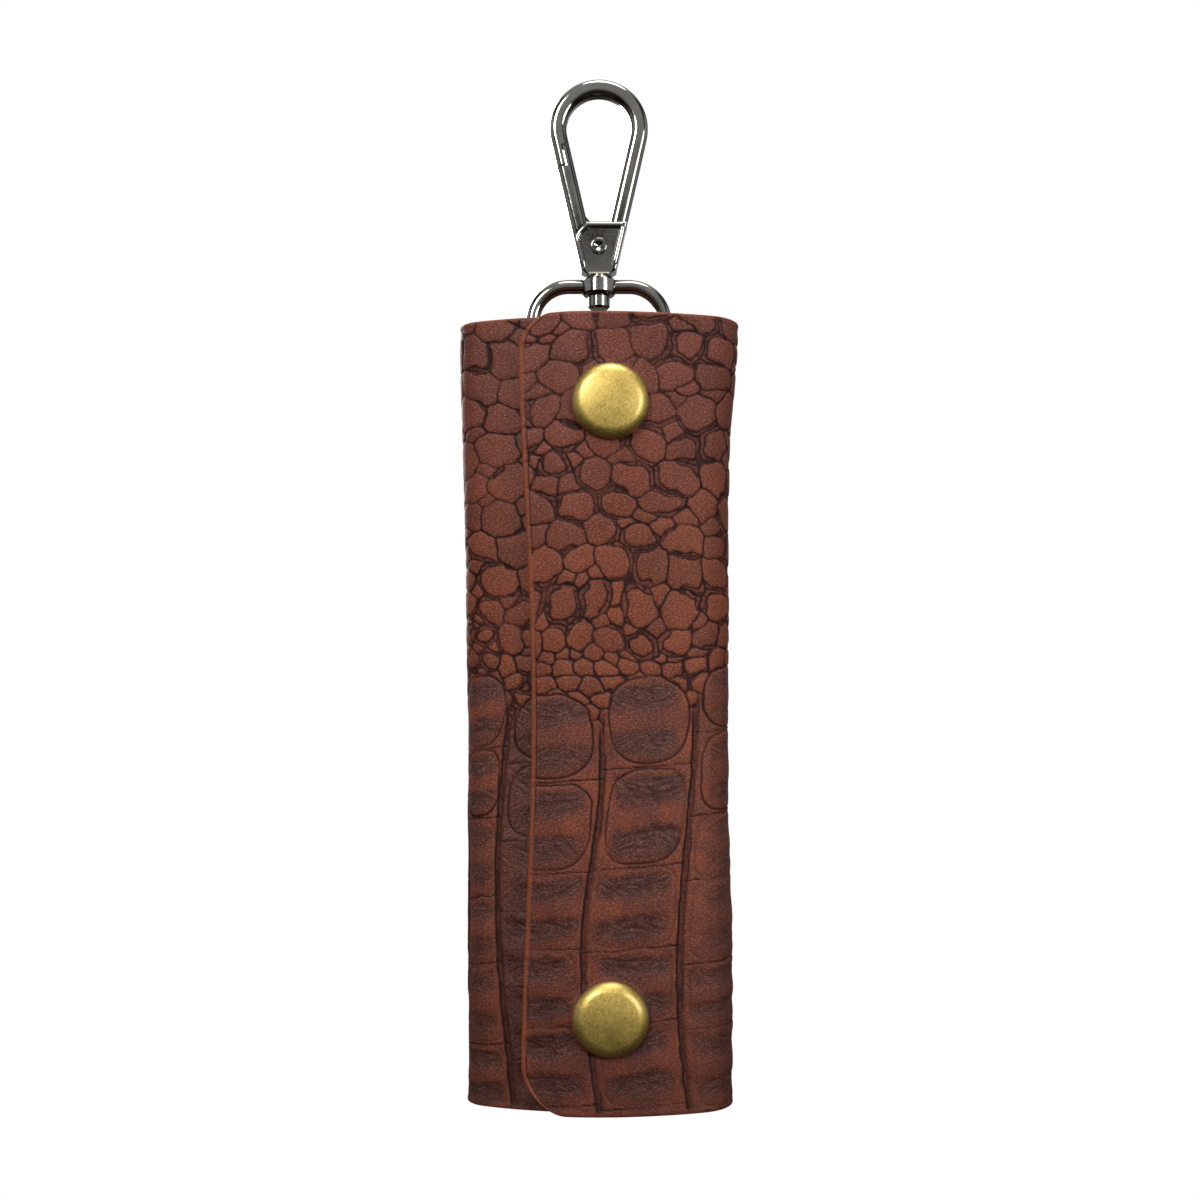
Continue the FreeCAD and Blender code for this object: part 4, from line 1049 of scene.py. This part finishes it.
# %% Strap path
BAR_RADIUS = 1.2
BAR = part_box("swivel_loop")[0].z / MM + BAR_RADIUS
STRAP = 1.6
BAR_EYE, RING_EYE = 1.35, 2.7
LAYERS_APART = 0.1
BAR_BEND, BAR_STRAIGHT, RING_BEND = 3.6, 4.4, 5.6
ring_y = BAR_EYE + STRAP - RING_EYE - STRAP
ring_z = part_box("inner_strap")[0].z / MM + RING_EYE + STRAP


def strap_bend(y_from, y_to, z_from, fall):
    """A soft step of the strap from one plane to another, as it falls."""
    steps = np.linspace(0, 1, 9)[1:]
    return [(y_from + (y_to - y_from) * smooth(0, 1, step), z_from - fall * step) for step in steps]


def strap_path():
    """The middle of the strap's thickness, as a loop in the plane across the hook's bar."""
    over, ringed = BAR_EYE + STRAP / 2, RING_EYE + STRAP / 2
    front_y = over - STRAP - LAYERS_APART
    points = [(over * math.cos(turn), BAR + over * math.sin(turn)) for turn in np.linspace(0, np.pi, 25)]
    points += strap_bend(-over, front_y, BAR, BAR_BEND)
    points += [(front_y, z) for z in np.linspace(BAR - BAR_STRAIGHT, ring_z + RING_BEND, 20)]
    points += strap_bend(front_y, ring_y - ringed, ring_z + RING_BEND, RING_BEND)
    for turn in np.linspace(np.pi, 2 * np.pi, 31)[1:]:
        points.append((ring_y + ringed * math.cos(turn), ring_z + ringed * math.sin(turn)))
    points += [(over, z) for z in np.linspace(ring_z, BAR, 30)[1:-1]]
    return np.array(points)


def sides_of(ahead):
    """Directions square to the directions of a path, in its plane."""
    ahead = ahead / np.linalg.norm(ahead, axis=1)[:, None]
    return np.stack([-ahead[:, 1], ahead[:, 0]], axis=1)


def lengths_along(path):
    """How far along a path each of its points is."""
    return np.concatenate([[0], np.cumsum(np.linalg.norm(np.diff(path, axis=0), axis=1))])


print("strap:", round(lengths_along(strap_path())[-1], 1), "mm round")

# %% Strap
WIDE, TAIL = 16.0, 9.0
NARROW_FROM, NARROW_FULL = 7.4, 17.4
STRAP_ROUND, SIDE_POWER, FACE_POWER = 48, 0.12, 0.35
STRAP_INSET = 0.02
STRAP_FACE, STRAP_EDGE = ((84, 46, 34), (108, 60, 40)), (128, 74, 42)


def strap_section():
    """A rounded oblong, from -1 to 1 both ways."""
    turn = np.linspace(0, 2 * np.pi, STRAP_ROUND, endpoint=False)
    c, s = np.cos(turn), np.sin(turn)
    return np.sign(c) * np.abs(c) ** SIDE_POWER, np.sign(s) * np.abs(s) ** FACE_POWER


def strap_mesh():
    path = strap_path()
    side = sides_of(np.roll(path, -1, axis=0) - np.roll(path, 1, axis=0))
    narrow = smooth(BAR - NARROW_FROM, BAR - NARROW_FULL, path[:, 1])
    half = (WIDE + (TAIL - WIDE) * narrow) / 2
    wide, thick = strap_section()
    x = half[:, None] * wide
    out = np.repeat(thick[None, :], len(path), axis=0) * (STRAP / 2 - STRAP_INSET)
    y = path[:, 0, None] + side[:, 0, None] * out
    z = path[:, 1, None] + side[:, 1, None] * out
    index = np.arange(x.size).reshape(x.shape)
    after = np.roll(index, -1, axis=0)
    quads = np.stack([index, np.roll(index, -1, axis=1), np.roll(after, -1, axis=1), after], axis=-1)
    along = np.repeat(lengths_along(path)[:, None], STRAP_ROUND, axis=1)
    edge = np.repeat(smooth(0.93, 1.0, np.abs(wide))[None, :], len(path), axis=0).ravel()
    values = {"sheet": np.stack([x, along, out * 3], axis=-1).reshape(-1, 3), "cut_edge": edge}
    points = np.stack([x, y, z], axis=-1).reshape(-1, 3)
    return make_mesh("leather_strap", points, quads.reshape(-1, 4).tolist(), values)


def strap_material():
    material, surface, start = new_material("plain_leather")
    sheet = attribute(start, "sheet", "Vector")
    cloudy = noise(start, sheet, 0.25, 3.0)
    grain = noise(start, sheet, 2.6, 3.0, 0.6)
    face = blend_colour(start, between(start, cloudy, 0.3, 0.7), *STRAP_FACE)
    face = blend_colour(start, attribute(start, "cut_edge"), face, STRAP_EDGE)
    feed(surface, face, "Base Color")
    feed(surface, 0.5 + 0.2 * grain, "Roughness")
    feed(surface, bump(start, grain, 0.4, 0.00015), "Normal")
    return material


strap = strap_mesh()
strap.data.materials.append(strap_material())
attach(strap, "case")
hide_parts("inner_strap")
print("strap:", len(strap.data.polygons), "faces")

# %% [markdown]
# ## Metal
# The hook is polished black nickel. The snaps and rivets are antique brass: warm, satin, lacquered and
# speckled with dark patina. A single colour and roughness would look like plastic, so in each metal both
# drift a little over the surface.

# %% Metals
LACQUER_ROUGH = 0.3
SPECK_FINER = 9
FINISHES = {
    "gunmetal": dict(light=(140, 139, 132), dark=(116, 115, 108), polish=0.06),
    "antique_brass": dict(light=(192, 168, 88), dark=(138, 114, 50), polish=0.44, speckle=0.75, scale=320,
                          lacquer=0.6),
    "nickel": dict(light=(205, 202, 196), dark=(188, 185, 178), polish=0.1),
    "spring_steel": dict(light=(190, 190, 190), dark=(165, 165, 165), polish=0.22),
}


def metal_material(name, light, dark, polish, speckle=0.3, scale=260, lacquer=0.0):
    material, surface, start = new_material(name)
    drift = noise(start, start, scale, 3.0)
    speck = noise(start, start, scale * SPECK_FINER, 3.0, 0.6)
    share = between(start, drift * (1 - speckle) + speck * speckle, 0.32, 0.68)
    feed(surface, blend_colour(start, share, dark, light), "Base Color")
    feed(surface, polish + 0.14 * (speck - 0.5) + 0.08 * drift, "Roughness")
    surface.inputs["Metallic"].default_value = 1.0
    surface.inputs["Coat Weight"].default_value = lacquer
    surface.inputs["Coat Roughness"].default_value = LACQUER_ROUGH
    return material


METALS = {name: metal_material(name, **finish) for name, finish in FINISHES.items()}
for part in frame["record"]["subparts"]:
    node = frame["nodes"][part["node"]]
    if part["material_slot"] in METALS:
        node.data.materials.clear()
        node.data.materials.append(METALS[part["material_slot"]])
print("metals:", list(METALS))

# %% [markdown]
# ## The gate's spring
# The coil between the gate's tongue and the hook's body is pressed together as the gate opens. It lies
# across the arm, which leans by 13 degrees, and its far end stays at the end of the slot. A solid can't be
# pressed. Here a copy of its mesh takes the solid's place and rides with the hook, unsquashed.

# %% The spring
ARM_LEAN = math.radians(13)


def gate_coil():
    solid = frame["nodes"]["gate_spring"]
    coil = bpy.data.objects.new("gate_coil", solid.data.copy())
    coil.matrix_world = solid.matrix_world
    bpy.context.scene.collection.objects.link(coil)
    points = [coil.matrix_world @ vertex.co for vertex in coil.data.vertices]
    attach(coil, "hook")
    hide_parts("gate_spring")
    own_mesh(coil)
    return coil


print("spring:", len(gate_coil().data.polygons), "faces")

# %% [markdown]
# ## The rims of the hook's body
# The body is cast with a raised rim round its recess, worn round and bright. A bevel on the solid's edges
# could round it. A thin bead along the rim's middle is surer, because it needs no choice of edges: it goes
# up the right side, over the top, round the gate's shoulder and down the left side.

# %% Rim path
BOW_OUTER, PIVOT_DROP, SHOULDER = 8.5, 20.5, 4.5
RIM_TOP, RIM_FOOT, RIM_INSET = 16.95, 24.6, 0.55
CORNER_ROUND = 0.7


def rim_x(drop):
    """How far aside the rim's middle is on the body's straight sides."""
    return (BOW_OUTER - RIM_INSET - drop * math.sin(ARM_LEAN)) / math.cos(ARM_LEAN)


def rim_path():
    """The rim's middle line in the hook's plane, from the right foot to the left one."""
    radius = SHOULDER - RIM_INSET
    corner = np.array([rim_x(RIM_TOP), -RIM_TOP])
    below = corner + CORNER_ROUND * np.array([-math.sin(ARM_LEAN), -math.cos(ARM_LEAN)])
    beside = corner - np.array([CORNER_ROUND, 0.0])
    bend = np.linspace(0, 1, 9)[:, None]
    curve = below * (1 - bend) ** 2 + 2 * corner * bend * (1 - bend) + beside * bend ** 2
    aside = BOW_OUTER - RIM_INSET - PIVOT_DROP * math.sin(ARM_LEAN)
    first = math.pi - math.asin((PIVOT_DROP - RIM_TOP) / radius)
    last = math.pi + ARM_LEAN - math.acos(aside / radius)
    turn = np.linspace(first, last, 14)
    shoulder = np.stack([radius * np.cos(turn), radius * np.sin(turn) - PIVOT_DROP], axis=1)
    up = [(rim_x(drop), -drop) for drop in np.linspace(RIM_FOOT, -below[1], 8)[:-1]]
    down = [(-rim_x(drop), -drop) for drop in np.linspace(-shoulder[-1, 1], RIM_FOOT, 8)[1:]]
    return np.concatenate([up, curve, shoulder, down])


print("rim:", round(lengths_along(rim_path())[-1], 1), "mm long")

# %% Rim beads
BEAD, BEAD_DEPTH, BEAD_ROUND = 0.52, 1.85, 16
BEAD_START, BEAD_FULL = -0.2, 0.6


def rim_beads():
    path = rim_path()
    side = sides_of(np.gradient(path, axis=0))
    along = lengths_along(path)
    thick = BEAD * np.sqrt(smooth(BEAD_START, BEAD_FULL, np.minimum(along, along[-1] - along)))
    turn = np.linspace(0, 2 * np.pi, BEAD_ROUND, endpoint=False)
    flat = path[:, None, :] + (thick[:, None] * np.cos(turn))[..., None] * side[:, None, :]
    deep = BEAD_DEPTH + thick[:, None] * np.sin(turn)
    points, quads = [], []
    for number, front in enumerate((-1, 1)):
        first_index = number * len(path) * BEAD_ROUND
        quads.append(tube_faces(len(path), BEAD_ROUND, first_index, front))
        points.append(np.stack([flat[..., 0], front * deep, flat[..., 1]], axis=-1).reshape(-1, 3))
    beads = make_mesh("hook_rims", np.concatenate(points), np.concatenate(quads).tolist(), {})
    beads.data.materials.append(METALS["gunmetal"])
    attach(beads, "hook")
    return beads


print("rims:", len(rim_beads().data.polygons), "faces")

# %% [markdown]
# ## Snap caps
# A snap's cap is a thin brass dome with a rolled shoulder. The solid has it too, but in flat facets, which
# show in its shine. So the two caps are turned anew in fine steps from one profile.

# %% Cap profile
CAP_RADIUS, CAP_HEIGHT, CAP_FACE, CAP_CROWN, CAP_SKIRT = 6.25, 2.2, 4.5, 0.4, 0.4
CAP_WALL, CAP_LIP, TUBE_RADIUS, TUBE_END = 0.5, 0.3, 1.6, -1.85
LIP_ROUND, LIP_CHAMFER, LIP_REST = 0.2, 0.1, 0.04


def arc_points(start, end, radius, count):
    """Points on an arc that bulges up and outward."""
    start, end = np.array(start), np.array(end)
    half = (end - start) / 2
    length = np.hypot(*half)
    inward = np.array([half[1], -half[0]]) / length
    centre = start + half + inward * math.sqrt(radius ** 2 - length ** 2)
    angles = np.linspace(facing(centre, start), facing(centre, end), count)
    return centre + radius * np.stack([np.cos(angles), np.sin(angles)], axis=1)


def cap_profile():
    """Radius and height, from the middle of the face, round the skirt and down the tube."""
    dome = (CAP_FACE ** 2 + CAP_CROWN ** 2) / (2 * CAP_CROWN)
    rim = (CAP_FACE, CAP_HEIGHT - CAP_CROWN)
    fall, reach = rim[1] - CAP_SKIRT, CAP_RADIUS - CAP_FACE
    level_share = 1 - CAP_CROWN / dome
    shoulder = (fall ** 2 + reach ** 2) / (2 * (fall * level_share - reach * CAP_FACE / dome))
    face = arc_points((0.0, CAP_HEIGHT), rim, dome, 24)[1:]
    side = arc_points(rim, (CAP_RADIUS, CAP_SKIRT), shoulder, 20)[1:]
    ceiling = rim[1] - CAP_WALL
    inner = CAP_RADIUS - CAP_WALL - CAP_LIP
    lip = [(CAP_RADIUS, LIP_ROUND), (CAP_RADIUS - LIP_CHAMFER, LIP_REST), (inner, LIP_REST)]
    under = [(inner, CAP_SKIRT), (CAP_FACE, ceiling), (TUBE_RADIUS, ceiling), (TUBE_RADIUS, TUBE_END)]
    return np.concatenate([face, side, lip, under])


print("cap profile:", len(cap_profile()), "points")

# %% Turned caps
ROUND = 96


def snap_cap(level):
    profile = cap_profile()
    lean = math.asin(SNAP_ASIDE / FACE_RADIUS)
    out = np.array([math.sin(lean), -math.cos(lean), 0.0])
    across = np.array([math.cos(lean), math.sin(lean), 0.0])
    low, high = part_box(f"{level}_snap_cap")
    foot = np.array([*FRONT_CENTRE, (low.z + high.z) / 2 / MM]) + FACE_RADIUS * out
    turn = np.linspace(0, 2 * np.pi, ROUND, endpoint=False)
    spoke = np.cos(turn)[:, None] * across + np.sin(turn)[:, None] * np.array([0.0, 0.0, 1.0])
    points = foot + profile[:, None, :1] * spoke[None] + profile[:, None, 1:] * out
    index = np.arange(len(profile) * ROUND).reshape(-1, ROUND)
    ends = [index[0].tolist(), index[-1, ::-1].tolist()]
    faces = tube_faces(len(profile), ROUND).tolist() + ends
    piece = make_mesh(f"brass_{level}_cap", points.reshape(-1, 3), faces, {})
    piece.data.materials.append(METALS["antique_brass"])
    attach(piece, "flap")
    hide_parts(f"{level}_snap_cap")
    return piece


caps = [snap_cap(level) for level in ("upper", "lower")]
print("caps:", [len(cap.data.polygons) for cap in caps], "faces")

# %% [markdown]
# ## Light, background and camera
# The object hangs before pure white. A white world would light it from all sides and leave the metal pale.
# So only the camera sees that white: the metal and leather are lit by a dimmer room, brighter above, with
# dark bands for the metal to reflect, and by soft lamps at the upper left, the right, overhead and behind.

# %% World
ROOM_LOW, ROOM_HIGH, ROOM_DARK, WHITE = (62, 60, 58), (214, 215, 218), (20, 20, 21), (255, 255, 255)


def make_world():
    world = bpy.data.worlds.new("room")
    bpy.context.scene.world = world
    world.use_nodes = True
    tree = world.node_tree
    tree.nodes.clear()
    seen = Wire(tree, tree.nodes.new("ShaderNodeLightPath").outputs["Is Camera Ray"])
    direction = seen.node("ShaderNodeTexCoord", {}, "Generated")
    up = seen.node("ShaderNodeSeparateXYZ", {"Vector": direction}, "Z")
    aside = seen.node("ShaderNodeSeparateXYZ", {"Vector": direction}, "X")
    room = blend_colour(seen, between(seen, up, -0.35, 0.3), ROOM_LOW, ROOM_HIGH)
    band = between(seen, aside * aside, 0.22, 0.36) * (1 - between(seen, aside * aside, 0.6, 0.75))
    room = blend_colour(seen, band * 0.85, room, ROOM_DARK)
    patch = between(seen, up, 0.25, 0.275) * (1 - between(seen, up, 0.285, 0.31))
    patch = patch * (1 - between(seen, aside * aside, 0.02, 0.05))
    room = blend_colour(seen, patch * 0.9, room, ROOM_DARK)
    colour = blend_colour(seen, seen, room, WHITE)
    shade = seen.node("ShaderNodeBackground", {"Color": colour, "Strength": 1.0})
    output = tree.nodes.new("ShaderNodeOutputWorld")
    tree.links.new(shade.socket, output.inputs["Surface"])


make_world()
print("world:", len(bpy.context.scene.world.node_tree.nodes), "nodes")

# %% Lamps
CENTRE = (0, 0, -0.09)
LAMPS = {
    "upper_left": ((-0.30, -0.55, 0.28), 0.32, 5.0),
    "right": ((0.42, -0.42, 0.02), 0.3, 2.2),
    "overhead": ((0.05, -0.12, 0.5), 0.35, 3.0),
    "behind": ((-0.25, 0.55, 0.15), 0.4, 4.0),
}


def make_lamp(name, place_m, size, power):
    lamp = bpy.data.lights.new(name, "AREA")
    lamp.shape = "DISK"
    lamp.size = size
    lamp.energy = power
    holder = bpy.data.objects.new(name, lamp)
    holder.location = place_m
    holder.rotation_euler = (Vector(CENTRE) - Vector(place_m)).to_track_quat("-Z", "Y").to_euler()
    bpy.context.scene.collection.objects.link(holder)


for name, lamp in LAMPS.items():
    make_lamp(name, *lamp)
print("lamps:", list(LAMPS))

# %% [markdown]
# A plain pale floor lies far below the hanging case. Only the camera sees it, so it throws no light up at
# the leather, and it shows no shadow.

# %% Floor
FLOOR_Z, FLOOR_RADIUS = -450.0, 3000.0


def pale_floor():
    turn = np.linspace(0, 2 * np.pi, ROUND, endpoint=False)
    rim = np.stack([np.cos(turn), np.sin(turn), np.zeros(ROUND)], axis=1) * FLOOR_RADIUS
    floor = make_mesh("floor", rim + np.array([0.0, 0.0, FLOOR_Z]), [list(range(ROUND))], {})
    material, _, start = new_material("pale_floor")
    glow = start.node("ShaderNodeEmission", {"Color": tint(*WHITE), "Strength": 1.0})
    start.tree.links.new(glow.socket, start.tree.nodes["Material Output"].inputs["Surface"])
    floor.data.materials.append(material)
    floor.visible_diffuse = False
    floor.visible_glossy = False
    floor.visible_transmission = False
    floor.visible_shadow = False


pale_floor()
print("floor at", FLOOR_Z, "mm")

# %% [markdown]
# The camera looks straight at the front. It is shifted and not tilted, so upright edges stay upright.

# %% Camera
CAMERA_PLACE = (0.0002, -0.2834, -0.0994)
LENS, SENSOR, LENS_RISE, NEAREST = 49.0, 36.0, 0.086, 0.01
camera = bpy.data.objects.new("camera", bpy.data.cameras.new("camera"))
bpy.context.scene.collection.objects.link(camera)
camera.location = CAMERA_PLACE
camera.rotation_euler = (math.radians(90), 0, 0)
camera.data.lens = LENS
camera.data.sensor_width = SENSOR
camera.data.shift_y = LENS_RISE
camera.data.clip_start = NEAREST
bpy.context.scene.camera = camera
bpy.context.scene.view_settings.view_transform = "Standard"
print("camera:", LENS, "mm lens")
